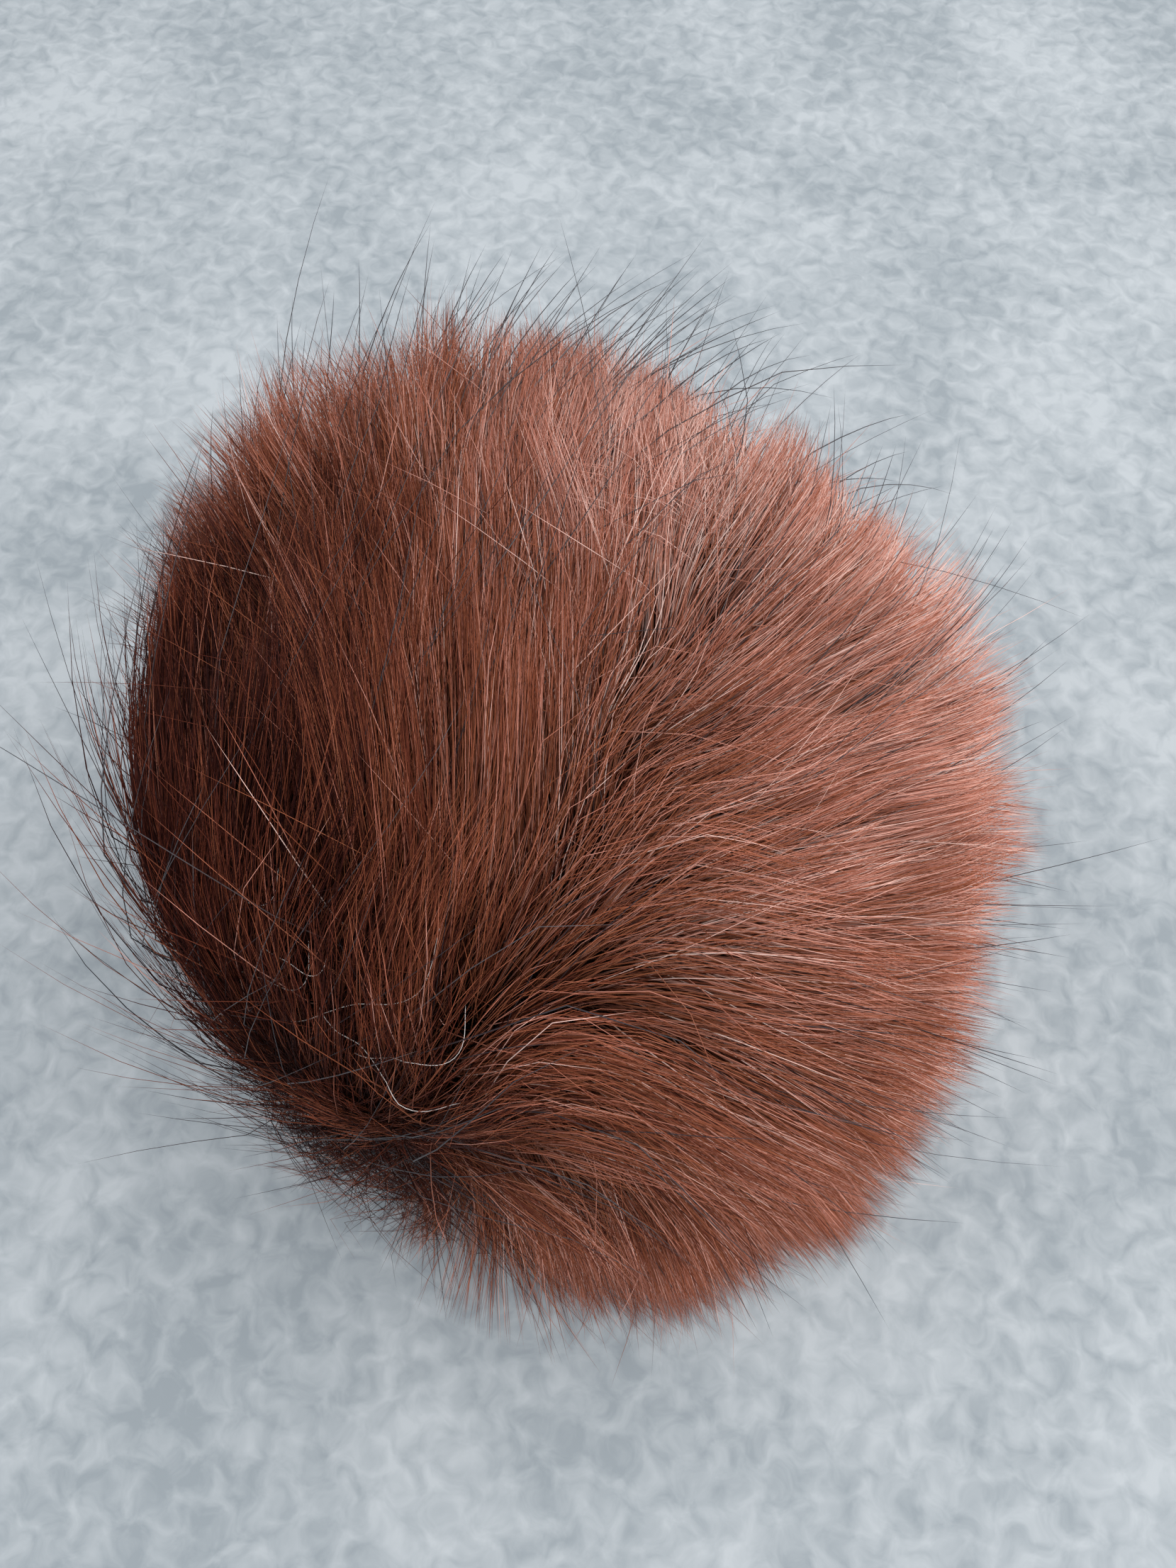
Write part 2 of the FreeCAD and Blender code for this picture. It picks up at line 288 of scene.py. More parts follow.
class NodeBench:
    """A new material with its shader, and short ways to add nodes to it."""

    MIX_FACTOR = 0
    MIX_FIRST = 6
    MIX_SECOND = 7
    MIX_RESULT = 2
    SHEEN_ROUGHNESS = 0.5

    def __init__(self, name: str) -> None:
        """Starts a material that holds a Principled shader and its output.

        Args:
            name: the material's name.
        """
        self.material = bpy.data.materials.new(name)
        self.material.use_nodes = True
        self.tree = self.material.node_tree
        self.shader = self.tree.nodes["Principled BSDF"]

    def add(self, kind: str, **sockets: object) -> bpy.types.Node:
        """Adds a node and sets or links its inputs.

        Args:
            kind: node type without its ShaderNode prefix.
            sockets: input names, with _ for spaces, and a value or an output to link.

        Returns:
            The node.
        """
        node = self.tree.nodes.new("ShaderNode" + kind)
        for key, value in sockets.items():
            self.put(node, key.replace("_", " "), value)
        return node

    def put(self, node: bpy.types.Node, key: Union[str, int], value: object) -> None:
        """Sets one input of a node, or links it where the value is an output.

        Args:
            node: the node.
            key: the input's name or number.
            value: a value, or an output to link.
        """
        if isinstance(value, bpy.types.NodeSocket):
            self.tree.links.new(value, node.inputs[key])
        else:
            node.inputs[key].default_value = value

    def strand_map(self) -> Tuple[bpy.types.NodeSocket, bpy.types.NodeSocket]:
        """Reads the map that each hair carries.

        Returns:
            Outputs for the place along a hair and for its tone.
        """
        chart = self.tree.nodes.new("ShaderNodeUVMap")
        chart.uv_map = STRAND_MAP
        parts = self.add("SeparateXYZ", Vector=chart.outputs["UV"])
        return parts.outputs["X"], parts.outputs["Y"]

    def ramp(
        self,
        value: bpy.types.NodeSocket,
        stops: Sequence[Tuple[float, Colour]],
    ) -> bpy.types.NodeSocket:
        """Colour ramp over a value.

        Args:
            value: output that is looked up.
            stops: places from 0 to 1, with their colours.

        Returns:
            The colour's output.
        """
        node = self.tree.nodes.new("ShaderNodeValToRGB")
        bar = node.color_ramp
        while len(bar.elements) < len(stops):
            bar.elements.new(0.5)
        for element, (place, colour) in zip(bar.elements, stops):
            element.position = place
            element.color = (*colour, 1.0)
        self.put(node, "Fac", value)
        return node.outputs["Color"]

    def mix(self, kind: str, factor: object, first: object, second: object) -> bpy.types.NodeSocket:
        """Mixes two colours by a named blend.

        Args:
            kind: the blend's name.
            factor: share of the second colour, or its output.
            first: a colour or an output.
            second: a colour or an output.

        Returns:
            The result's output.
        """
        node = self.tree.nodes.new("ShaderNodeMix")
        node.data_type = "RGBA"
        node.blend_type = kind
        self.put(node, self.MIX_FACTOR, factor)
        for index, colour in ((self.MIX_FIRST, first), (self.MIX_SECOND, second)):
            linked = isinstance(colour, bpy.types.NodeSocket)
            self.put(node, index, colour if linked else (*colour, 1.0))
        return node.outputs[self.MIX_RESULT]

    def sums(self, kind: str, first: object, second: object) -> bpy.types.NodeSocket:
        """Math node of one operation.

        Args:
            kind: the operation's name.
            first: a value or an output.
            second: a value or an output.

        Returns:
            The result's output.
        """
        node = self.tree.nodes.new("ShaderNodeMath")
        node.operation = kind
        self.put(node, 0, first)
        self.put(node, 1, second)
        return node.outputs[0]

    def place(self, scale: Sequence[float] = (1.0, 1.0, 1.0)) -> bpy.types.NodeSocket:
        """Object coordinates in metres, scaled on each axis."""
        where = self.tree.nodes.new("ShaderNodeTexCoord").outputs["Object"]
        return self.add("Mapping", Vector=where, Scale=tuple(scale)).outputs["Vector"]

    def counted(self, size: float) -> bpy.types.NodeSocket:
        """Object coordinates, counted in features of one size."""
        return self.place((1 / size,) * 3)

    def bump(self, height: bpy.types.NodeSocket, depth: float) -> None:
        """Bump of a given depth in metres, on the shader's normal."""
        node = self.add("Bump", Height=height, Strength=1.0, Distance=depth)
        self.put(self.shader, "Normal", node.outputs["Normal"])

    def finish(
        self,
        colour: bpy.types.NodeSocket,
        roughness: float,
        specular: float,
        sheen: float = 0.0,
    ) -> bpy.types.Material:
        """Links the colour and sets the shader's constants.

        Args:
            colour: output of the base colour.
            roughness: the surface's roughness.
            specular: the surface's specular level.
            sheen: weight of the cloth-like sheen.

        Returns:
            The material.
        """
        self.tree.links.new(colour, self.shader.inputs["Base Color"])
        self.shader.inputs["Roughness"].default_value = roughness
        self.shader.inputs["Specular IOR Level"].default_value = specular
        self.shader.inputs["Sheen Weight"].default_value = sheen
        self.shader.inputs["Sheen Roughness"].default_value = self.SHEEN_ROUGHNESS
        return self.material


@dataclass(frozen=True)
class FurFinish:
    """Fibres: roots darkened by painted shade deep in the fur, body colour by each strand's tone, and
    tips lightened by a painted glow of light through them.
    """

    name: str = "fur_fibres"
    # Colours by tone; the pale pink upper stops serve as painted highlights for the lit side and also
    # colour the palest hairs.
    tones: Tuple[Tuple[float, Colour], ...] = (
        (0.0, (0.012, 0.003, 0.003)),
        (0.16, (0.046, 0.011, 0.008)),
        (0.34, (0.150, 0.042, 0.022)),
        (0.50, (0.290, 0.105, 0.052)),
        (0.64, (0.420, 0.176, 0.125)),
        (0.82, (0.650, 0.375, 0.310)),
        (1.0, (0.870, 0.690, 0.630)),
    )
    # Painted shade: the colour that the roots are darkened by, towards the skin where the fur shades
    # them.
    root_shade: Colour = (0.20, 0.14, 0.12)
    root_end: float = 0.42
    # Painted glow: the tips are tinted and lightened, standing in for light shining through the fibres.
    tip_glow_tint: Colour = (0.80, 0.50, 0.42)
    tip_glow_start: float = 0.55
    tip_glow_share: float = 0.40
    roughness: float = 0.6
    specular: float = 0.10

    def make(self) -> bpy.types.Material:
        """Material whose colour is a function of the strand's own map alone.

        Returns:
            The material.
        """
        bench = NodeBench(self.name)
        along, tone = bench.strand_map()
        body = bench.ramp(tone, self.tones)
        # Painted shade deep in the fur: the colour darkens towards each root.
        shade = bench.ramp(along, ((0.0, self.root_shade), (self.root_end, WHITE)))
        shaded = bench.mix("MULTIPLY", 1.0, body, shade)
        # Painted glow of light through the tips: their colour is tinted, then lightened by adding the
        # tint.
        ends = bench.ramp(along, ((self.tip_glow_start, BLACK), (1.0, (self.tip_glow_share,) * 3)))
        glow_tinted = bench.mix("MULTIPLY", 1.0, body, self.tip_glow_tint)
        tipped = bench.mix("MIX", ends, shaded, glow_tinted)
        lit = bench.mix("ADD", ends, tipped, glow_tinted)
        return bench.finish(lit, self.roughness, self.specular)


@dataclass(frozen=True)
class GuardFinish:
    """Long outer hairs, brown where they leave the fur and blue-black at their ends."""

    name: str = "guard_hairs"
    root: Colour = (0.060, 0.022, 0.016)
    middle: Colour = (0.030, 0.018, 0.020)
    end: Colour = (0.030, 0.032, 0.042)
    pale: Colour = (0.16, 0.15, 0.16)
    pale_from: float = 0.7
    pale_share: float = 0.8

    def make(self) -> bpy.types.Material:
        """Material that runs from root to end, with a few paler hairs by tone.

        Returns:
            The material.
        """
        bench = NodeBench(self.name)
        along, tone = bench.strand_map()
        run = bench.ramp(along, ((0.0, self.root), (0.5, self.middle), (1.0, self.end)))
        share = bench.ramp(tone, ((self.pale_from, BLACK), (1.0, (self.pale_share,) * 3)))
        return bench.finish(bench.mix("MIX", share, run, self.pale), roughness=0.38, specular=0.5)


@dataclass(frozen=True)
class StrayFinish:
    """Loose silver-white hairs that lie in the fur."""

    name: str = "stray_hairs"
    dark: Colour = (0.42, 0.36, 0.34)
    light: Colour = (0.86, 0.82, 0.80)

    def make(self) -> bpy.types.Material:
        """Material that pales along each hair.

        Returns:
            The material.
        """
        bench = NodeBench(self.name)
        along, _ = bench.strand_map()
        run = bench.ramp(along, ((0.0, self.dark), (0.4, self.light)))
        return bench.finish(run, roughness=0.3, specular=0.5)


@dataclass(frozen=True)
class KnitFinish:
    """Fine knitted cloth: columns of loops, with uneven dye."""

    name: str
    dark: Colour
    light: Colour
    pitch: float = 1.1 * MM
    depth: float = 0.25 * MM
    sheen: float = 0.3

    def make(self) -> bpy.types.Material:
        """Material with loops in both directions and soft blotches.

        Returns:
            The material.
        """
        bench = NodeBench(self.name)
        where = bench.counted(self.pitch)
        loops = bench.add("TexVoronoi", Vector=where, Scale=1.0)
        column = bench.add("TexWave", Vector=where, Scale=0.32, Distortion=1.2, Detail=1.0)
        column.bands_direction = "DIAGONAL"
        cloth = bench.sums("MULTIPLY", loops.outputs["Distance"], column.outputs["Fac"])
        blotch = bench.add("TexNoise", Vector=where, Scale=0.07, Detail=3.0)
        worn = bench.ramp(blotch.outputs["Fac"], ((0.3, self.dark), (0.75, self.light)))
        thread = bench.ramp(cloth, ((0.0, (0.45, 0.45, 0.45)), (0.5, WHITE)))
        bench.bump(cloth, self.depth)
        dyed = bench.mix("MULTIPLY", 1.0, worn, thread)
        return bench.finish(dyed, roughness=0.9, specular=0.2, sheen=self.sheen)


@dataclass(frozen=True)
class FoamFinish:
    """Open-cell foam: paler struts, with painted shade darkening the pores between them."""

    name: str = "open_cell_foam"
    strut: Colour = (0.070, 0.070, 0.076)
    # Painted shade: the near-black colour inside the pores.
    pore_shade: Colour = (0.008, 0.008, 0.009)
    cell: float = 1.0 * MM
    fine_scale: float = 2.3
    relief: float = 0.6 * MM

    def make(self) -> bpy.types.Material:
        """Material with pores of two sizes, in colour and in relief.

        Returns:
            The material.
        """
        bench = NodeBench(self.name)
        where = bench.counted(self.cell)
        gaps = []
        for scale in (1.0, self.fine_scale):
            pores = bench.add("TexVoronoi", Vector=where, Scale=scale)
            pores.feature = "DISTANCE_TO_EDGE"
            gaps.append(pores.outputs["Distance"])
        both = bench.sums("MINIMUM", *gaps)
        # Painted shade in the pores: near black where the gaps open, paler on the struts.
        colour = bench.ramp(both, ((0.02, self.strut), (0.16, self.pore_shade)))
        bench.bump(bench.sums("MULTIPLY", both, -1.0), self.relief)
        return bench.finish(colour, roughness=0.95, specular=0.15, sheen=0.05)


@dataclass(frozen=True)
class NettingFinish:
    """Fine warp-knit netting of the cavity: a lattice of round holes, painted dark as the shade seen
    through them.
    """

    name: str = "cavity_netting"
    thread: Colour = (0.060, 0.060, 0.066)
    # Painted shade: the near-black colour of the holes.
    hole_shade: Colour = (0.006, 0.006, 0.007)
    pitch: float = 1.3 * MM

    def make(self) -> bpy.types.Material:
        """Material with holes sunk between the threads, painted dark as shade.

        Returns:
            The material.
        """
        bench = NodeBench(self.name)
        where = bench.counted(self.pitch)
        cells = bench.add("TexVoronoi", Vector=where, Scale=1.0, Randomness=0.25)
        # Painted shade: the holes are coloured near black, as if shaded inside.
        colour = bench.ramp(cells.outputs["Distance"], ((0.28, self.hole_shade), (0.42, self.thread)))
        bench.bump(cells.outputs["Distance"], 0.3 * MM)
        return bench.finish(colour, roughness=0.7, specular=0.35, sheen=0.2)


@dataclass(frozen=True)
class RubberFinish:
    """Moulded silicone rubber with a faint bloom and lint."""

    name: str = "grip_rubber"
    base: Colour = (0.020, 0.020, 0.022)
    bloom: Colour = (0.045, 0.045, 0.048)

    def make(self) -> bpy.types.Material:
        """Satin material with blotches of bloom and a fine mould grain.

        Returns:
            The material.
        """
        bench = NodeBench(self.name)
        where = bench.place()
        blotch = bench.add("TexNoise", Vector=where, Scale=140.0, Detail=4.0)
        grain = bench.add("TexNoise", Vector=where, Scale=2600.0, Detail=2.0)
        colour = bench.ramp(blotch.outputs["Fac"], ((0.4, self.base), (0.75, self.bloom)))
        bench.bump(grain.outputs["Fac"], 0.04 * MM)
        return bench.finish(colour, roughness=0.5, specular=0.45)


@dataclass(frozen=True)
class FeltFinish:
    """Pressed felt: short crossing fibres and flecks."""

    name: str = "base_felt"
    dark: Colour = (0.022, 0.021, 0.024)
    light: Colour = (0.085, 0.080, 0.084)
    lays: Tuple[Tuple[float, float, float], ...] = ((900.0, 3600.0, 2200.0), (3600.0, 900.0, 2200.0))

    def make(self) -> bpy.types.Material:
        """Matt material of stretched noise, crossed in two directions.

        Returns:
            The material.
        """
        bench = NodeBench(self.name)
        fibres = []
        for lay in self.lays:
            drawn = bench.add("TexNoise", Vector=bench.place(lay), Scale=1.0, Detail=3.0)
            fibres.append(drawn.outputs["Fac"])
        fibre = bench.sums("MAXIMUM", *fibres)
        colour = bench.ramp(fibre, ((0.45, self.dark), (0.78, self.light)))
        bench.bump(fibre, 0.35 * MM)
        return bench.finish(colour, roughness=0.97, specular=0.1, sheen=0.4)


@dataclass(frozen=True)
class TapeFinish:
    """Woven tape or elastic: close ribs across its length."""

    name: str
    dark: Colour
    light: Colour
    rib: float = 0.55 * MM

    def make(self) -> bpy.types.Material:
        """Material with ribs and a finer crossing yarn.

        Returns:
            The material.
        """
        bench = NodeBench(self.name)
        where = bench.counted(self.rib)
        ribs = bench.add("TexWave", Vector=where, Scale=0.31, Distortion=0.6, Detail=1.0)
        ribs.bands_direction = "DIAGONAL"
        yarn = bench.add("TexVoronoi", Vector=where, Scale=1.6)
        height = bench.sums("ADD", ribs.outputs["Fac"], yarn.outputs["Distance"])
        colour = bench.ramp(height, ((0.35, self.dark), (1.0, self.light)))
        bench.bump(height, 0.12 * MM)
        return bench.finish(colour, roughness=0.85, specular=0.25, sheen=0.25)


@dataclass(frozen=True)
class ThreadFinish:
    """Twisted sewing thread."""

    name: str = "sewing_thread"
    dark: Colour = (0.055, 0.022, 0.016)
    light: Colour = (0.22, 0.10, 0.075)
    plies: float = 2600.0

    def make(self) -> bpy.types.Material:
        """Material with fine plies along the thread.

        Returns:
            The material.
        """
        bench = NodeBench(self.name)
        where = bench.place((self.plies,) * 3)
        ply = bench.add("TexWave", Vector=where, Scale=1.0, Distortion=0.4)
        ply.bands_direction = "DIAGONAL"
        colour = bench.ramp(ply.outputs["Fac"], ((0.2, self.dark), (0.8, self.light)))
        bench.bump(ply.outputs["Fac"], 0.05 * MM)
        return bench.finish(colour, roughness=0.6, specular=0.4, sheen=0.2)


@dataclass(frozen=True)
class FloorFinish:
    """Pale blue-grey standing surface with a faint speckle."""

    name: str = "pale_floor"
    dark: Colour = (0.27, 0.31, 0.34)
    light: Colour = (0.44, 0.48, 0.51)

    def make(self) -> bpy.types.Material:
        """Matt material with two sizes of speckle.

        Returns:
            The material.
        """
        bench = NodeBench(self.name)
        where = bench.place()
        broad = bench.add("TexNoise", Vector=where, Scale=22.0, Detail=3.0)
        fine = bench.add("TexNoise", Vector=where, Scale=240.0, Detail=5.0, Distortion=0.6)
        speckle = bench.sums("ADD", broad.outputs["Fac"], fine.outputs["Fac"])
        even = bench.sums("MULTIPLY", speckle, 0.5)
        colour = bench.ramp(even, ((0.38, self.dark), (0.62, self.light)))
        return bench.finish(colour, roughness=0.75, specular=0.25)


# ------------------------------------------------------------------ the windscreen's form


@dataclass
class Form:
    """The rounded, drafted block that the layers follow, read from the frame's boxes."""

    corner_radius: float = 32.0 * MM
    crown_radius: float = 22.0 * MM
    draft: float = math.radians(5.0)
    side_steps: int = 14
    arc_steps: int = 14
    wall_steps: int = 20
    crown_steps: int = 16
    top_steps: int = 8
    top_share: float = 0.05
    lining_in: float = 0.5 * MM
    half_x: float = field(init=False)
    half_y: float = field(init=False)
    height: float = field(init=False)
    lining_out: float = field(init=False)
    backing_out: float = field(init=False)
    hem_out: float = field(init=False)
    hem_height: float = field(init=False)

    def __post_init__(self) -> None:
        """Reads the core's size and the layers' places from the frame."""
        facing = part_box("base_facing")[1]
        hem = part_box("hem_channel")[1]
        self.half_x, self.half_y = facing[0], facing[1]
        self.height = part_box("foam_crown_pad")[1][2]
        self.backing_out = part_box("left_backing")[1][2] - self.height
        self.lining_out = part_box("left_lining")[1][2] - self.height
        self.hem_height = hem[2]
        self.hem_out = (hem[0] - self.half_x) * math.cos(self.draft)

    def outline(self, half_x: float, half_y: float, radius: float) -> np.ndarray:
        """Rounded rectangle from the +X side round by +Y.

        Args:
            half_x: half its width.
            half_y: half its depth.
            radius: its corners' radius.

        Returns:
            Points in the plane, one row each.
        """
        points = []
        signs = ((1, 1), (-1, 1), (-1, -1), (1, -1))
        for corner, (sign_x, sign_y) in enumerate(signs):
            centre = np.array([sign_x * (half_x - radius), sign_y * (half_y - radius)])
            turns = np.radians(90.0 * (corner + np.arange(self.arc_steps) / self.arc_steps))
            points.extend(centre + radius * np.column_stack([np.cos(turns), np.sin(turns)]))
            after = math.radians(90.0 * (corner + 1))
            spoke = radius * np.array([math.cos(after), math.sin(after)])
            next_x, next_y = signs[(corner + 1) % 4]
            follow = np.array([next_x * (half_x - radius), next_y * (half_y - radius)])
            for share in np.arange(self.side_steps) / self.side_steps:
                points.append(centre + spoke + (follow - centre) * share)
        return np.array(points)

    def ring(self, growth: float, inset: float, z: float) -> np.ndarray:
        """Outline of the body grown by `growth` and drawn in by `inset`, at one height.

        Args:
            growth: how far out from the foam, in metres.
            inset: how far it is drawn in.
            z: height above the floor.

        Returns:
            Points, one row each.
        """
        side = growth / math.cos(self.draft) - inset
        radius = max(self.corner_radius + side, 0.5 * MM)
        flat = self.outline(self.half_x + side, self.half_y + side, radius)
        return np.column_stack([flat, np.full(len(flat), z)])

    def wall_ring(self, growth: float, z: float) -> np.ndarray:
        """Outline of the drafted wall grown by `growth`, at one height."""
        return self.ring(growth, z * math.tan(self.draft), z)

    def crown_centre(self, growth: float) -> Tuple[float, float]:
        """Height of the crown's turning centre, and how far inside the wall's foot it lies.

        Args:
            growth: how far out from the foam, in metres.

        Returns:
            The height and the distance.
        """
        height = self.height - self.crown_radius
        inset = height * math.tan(self.draft) + (self.crown_radius + growth) / math.cos(self.draft)
        return height, inset

    def shell(self, growth: float, low: float) -> List[np.ndarray]:
        """Rings of one layer's surface, from its lower edge to near the middle of the crown.

        Args:
            growth: how far out from the foam, in metres.
            low: height of its lower edge.

        Returns:
            The rings, from the bottom up.
        """
        height, inset = self.crown_centre(growth)
        crown = self.crown_radius + growth
        bend = height + crown * math.sin(self.draft)
        rings = [self.wall_ring(growth, z) for z in np.linspace(low, bend, self.wall_steps)]
        for angle in np.linspace(self.draft, math.pi / 2, self.crown_steps)[1:]:
            inward = inset - crown * math.cos(angle)
            rings.append(self.ring(growth, inward, height + crown * math.sin(angle)))
        last = rings[-1]
        for share in np.linspace(1.0, self.top_share, self.top_steps)[1:]:
            rings.append(last * np.array([share, share, 1.0]))
        return rings

    def middle(self, side: int) -> int:
        """Number of a ring's point in the middle of a side: 0 rear, 1 left, 2 front, 3 right."""
        return side * (self.arc_steps + self.side_steps) + self.arc_steps + self.side_steps // 2

    def run(self, side: int, growth: float, low: float) -> np.ndarray:
        """Line up one side's middle, from a layer's lower edge to the middle of the crown.

        Args:
            side: 0 rear, 1 left, 2 front, 3 right.
            growth: how far out from the foam, in metres.
            low: height of its lower end.

        Returns:
            Points, from the bottom up.
        """
        line = [ring[self.middle(side)] for ring in self.shell(growth, low)]
        top = np.array([0.0, 0.0, line[-1][2]])
        return np.array(line + [top])

    def normal(self, points: np.ndarray) -> np.ndarray:
        """Smooth outward directions at places on or above the backing.

        Args:
            points: places, one row each.

        Returns:
            Unit directions, one row each.
        """
        reach = np.array([self.half_x, self.half_y]) - self.corner_radius
        spine = np.clip(points[:, :2], -reach, reach)
        flat = points[:, :2] - spine
        gap = np.linalg.norm(flat, axis=1)
        height, inset = self.crown_centre(self.backing_out)
        inner = self.corner_radius + self.backing_out / math.cos(self.draft) - inset
        rise = np.arctan2(points[:, 2] - height, np.maximum(gap - inner, 1e-6))
        angle = np.clip(rise, self.draft, math.pi / 2)
        way = flat / np.maximum(gap, 1e-9)[:, None]
        return unit(np.column_stack([way * np.cos(angle)[:, None], np.sin(angle)]))


class PileGauge:
    """Reads from the frame's pile solids how deep the fur stands."""

    FAR = 0.06
    BARE = 2.0 * MM
    EVEN_SPAN = 9

    def __init__(self) -> None:
        """Keeps both pile solids as one tree of faces."""
        places, faces = [], []
        for side in Side:
            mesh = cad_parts[side.word + "_pile"].data
            first = len(places)
            places.extend(v.co.copy() for v in mesh.vertices)
            faces.extend([first + i for i in p.vertices] for p in mesh.polygons)
        self.tree = BVHTree.FromPolygons(places, faces)

    def depth(self, points: np.ndarray, normals: np.ndarray) -> np.ndarray:
        """Distance from each place, along its outward direction, to the pile's outer face.

        Args:
            points: places, one row each.
            normals: outward directions there.

        Returns:
            Depths in metres.
        """
        found = np.full(len(points), self.BARE)
        for number, (point, way) in enumerate(zip(points, normals)):
            start = Vector(point + way * self.FAR)
            gap = self.tree.ray_cast(start, Vector(-way), self.FAR)[3]
            if gap is not None:
                found[number] = self.FAR - gap
        return found

    def laid(self, points: np.ndarray, facing: np.ndarray) -> np.ndarray:
        """Places dropped onto the pile's outer face against a direction, and evened along the line.

        Args:
            points: places along a line.
            facing: unit direction off the pile.

        Returns:
            The places on the pile.
        """
        landed = []
        for point in points:
            start = Vector(point + facing * self.FAR)
            spot = self.tree.ray_cast(start, Vector(-facing), 2 * self.FAR)[0]
            landed.append(point if spot is None else np.array(spot))
        height = np.array(landed) @ facing
        padded = np.pad(height, self.EVEN_SPAN // 2, mode="edge")
        even = np.convolve(padded, np.ones(self.EVEN_SPAN) / self.EVEN_SPAN, mode="valid")
        return np.array(landed) + (even - height)[:, None] * facing


# ------------------------------------------------------------------ fur


@dataclass(frozen=True)
class HairKind:
    """Sizes of one sort of hair.

    Lengths are for the combed-over style and for the fanned one. Spread, gather, droop and fall are
    shares, rise is how far the tips stand above the pile's depth, and points counts the places
    along a centreline.
    """

    root_radius: float
    tip_radius: float
    length_flat: float = 0.0
    length_fan: float = 0.0
    length_spread: float = 0.0
    sway_deg: float = 0.0
    swing_deg: float = 0.0
    gather: float = 0.0
    droop: float = 0.0
    fall: float = 0.0
    rise: float = 0.0
    points: int = 6


class Comb:
    """The way the nap lies: up and over on one side of the parting, fanned out on the other.

    OVER values are directions to the right and to the back. Under LOW_TOP the gather draws in the
    nap of both sides; above it, that of the fanned side alone.
    """

    OVER_FRONT = (0.25, 0.97)
    OVER_CROWN = (-0.30, 0.95)
    OVER_EDGE = (-0.40, 0.92)
    OVER_WIDTH = 40.0 * MM
    ROLL_HEIGHT = -12.0 * MM
    PARTING_OFFSET = 12.0 * MM
    PARTING_BLEND = 5.0 * MM
    PARTING_LOW = 28.0 * MM
    PARTING_RUN = 35.0 * MM
    PARTING_WANDER = 2.0 * MM
    WANDER_RATE = 210.0
    FRONT_START = 4.0 * MM
    FRONT_RUN = 26.0 * MM
    FRONT_OFFSET = 7.0 * MM
    FRONT_BLEND = 15.0 * MM
    FAN_START = -31.0 * MM
    FAN_START_DEG = 20.0
    FAN_RATE = 1.07
    FAN_LEAST_DEG = -70.0
    FAN_MOST_DEG = 84.0
    FAN_FALL = 0.95
    FAN_FALL_OVER = 6.0 * MM
    FAN_FALL_RUN = 38.0 * MM
    PUCKER_AHEAD = 21.0 * MM
    PUCKER_HEIGHT = 22.0 * MM
    PUCKER_HEART = 8.0 * MM
    PUCKER_REACH = 15.0 * MM
    PUCKER_PULL = 2.5
    LOW_TOP = 11.0 * MM
    LOW_RUN = 6.0 * MM

    def __init__(self, form: Form) -> None:
        """Places the gather's centre in front of the body."""
        self.form = form
        self.pucker = np.array([0.0, -form.half_y - self.PUCKER_AHEAD, self.PUCKER_HEIGHT])

    def fanned(self, points: np.ndarray) -> np.ndarray:
        """Share of the fanned style at each place: 0 left of the parting, 1 right of it.

        Args:
            points: places, one row each.

        Returns:
            One share for each place.
        """
        front = smooth_step((-points[:, 1] - self.FRONT_START) / self.FRONT_RUN)
        rise = smooth_step((points[:, 2] - self.PARTING_LOW) / self.PARTING_RUN)
        line = (self.PARTING_OFFSET + self.FRONT_OFFSET * front) * rise
        wander = self.PARTING_WANDER * np.sin(points[:, 1] * self.WANDER_RATE)
        blend = self.PARTING_BLEND + self.FRONT_BLEND * front
        return smooth_step((points[:, 0] - line - wander) / blend + 0.5)

    def combed_over(self, points: np.ndarray, normals: np.ndarray) -> np.ndarray:
        """Rolling nap: up the front, back over the crown and down behind.

        Args:
            points: places, one row each.
            normals: outward directions there.

        Returns:
            Unit directions, one row each.
        """
        share = smooth_step(-points[:, 0:1] / self.OVER_WIDTH)
        front = smooth_step(-normals[:, 1:2])
        flat = (1.0 - share) * np.array(self.OVER_CROWN) + share * np.array(self.OVER_EDGE)
        flat = (1.0 - front) * flat + front * np.array(self.OVER_FRONT)
        over = np.column_stack([unit(flat), np.zeros(len(points))])
        forth = np.sum(points * over, axis=1)[:, None]
        return unit((points[:, 2:3] - self.ROLL_HEIGHT) * over - forth * UP)

    def fanned_out(self, points: np.ndarray) -> np.ndarray:
        """Fan from the parting: back at the rear, across in the middle, forward in front.

        Args:
            points: places, one row each.

        Returns:
            Unit directions, one row each.
        """
        turn = self.FAN_START_DEG + self.FAN_RATE * (points[:, 1] - self.FAN_START) / MM
        turn = np.radians(np.clip(turn, self.FAN_LEAST_DEG, self.FAN_MOST_DEG))
        sunk = self.form.height + self.FAN_FALL_OVER - points[:, 2]
        fall = self.FAN_FALL * smooth_step(sunk / self.FAN_FALL_RUN)
        return unit(np.column_stack([np.cos(turn), np.sin(turn), -fall]))

    def near_pucker(self, points: np.ndarray) -> np.ndarray:
        """Closeness to the gather: 1 at its centre, falling to 0 away from it."""
        gap = np.linalg.norm(points - self.pucker, axis=1)
        return np.exp(-((np.maximum(gap - self.PUCKER_HEART, 0.0) / self.PUCKER_REACH) ** 2))

    def flow(self, points: np.ndarray, normals: np.ndarray) -> np.ndarray:
        """Directions along the surface that the hairs lie in.

        Args:
            points: places on or above the backing.
            normals: outward directions there.

        Returns:
            Unit directions, square to the normals.
        """
        share = self.fanned(points)[:, None]
        lie = (1.0 - share) * self.combed_over(points, normals) + share * self.fanned_out(points)
        low = smooth_step((self.LOW_TOP - points[:, 2:3]) / self.LOW_RUN)
        pull = self.PUCKER_PULL * np.maximum(share, low) * self.near_pucker(points)[:, None]
        lie = lie + pull * unit(points - self.pucker)
        return unit(lie - normals * np.sum(lie * normals, axis=1, keepdims=True) + 1e-9)


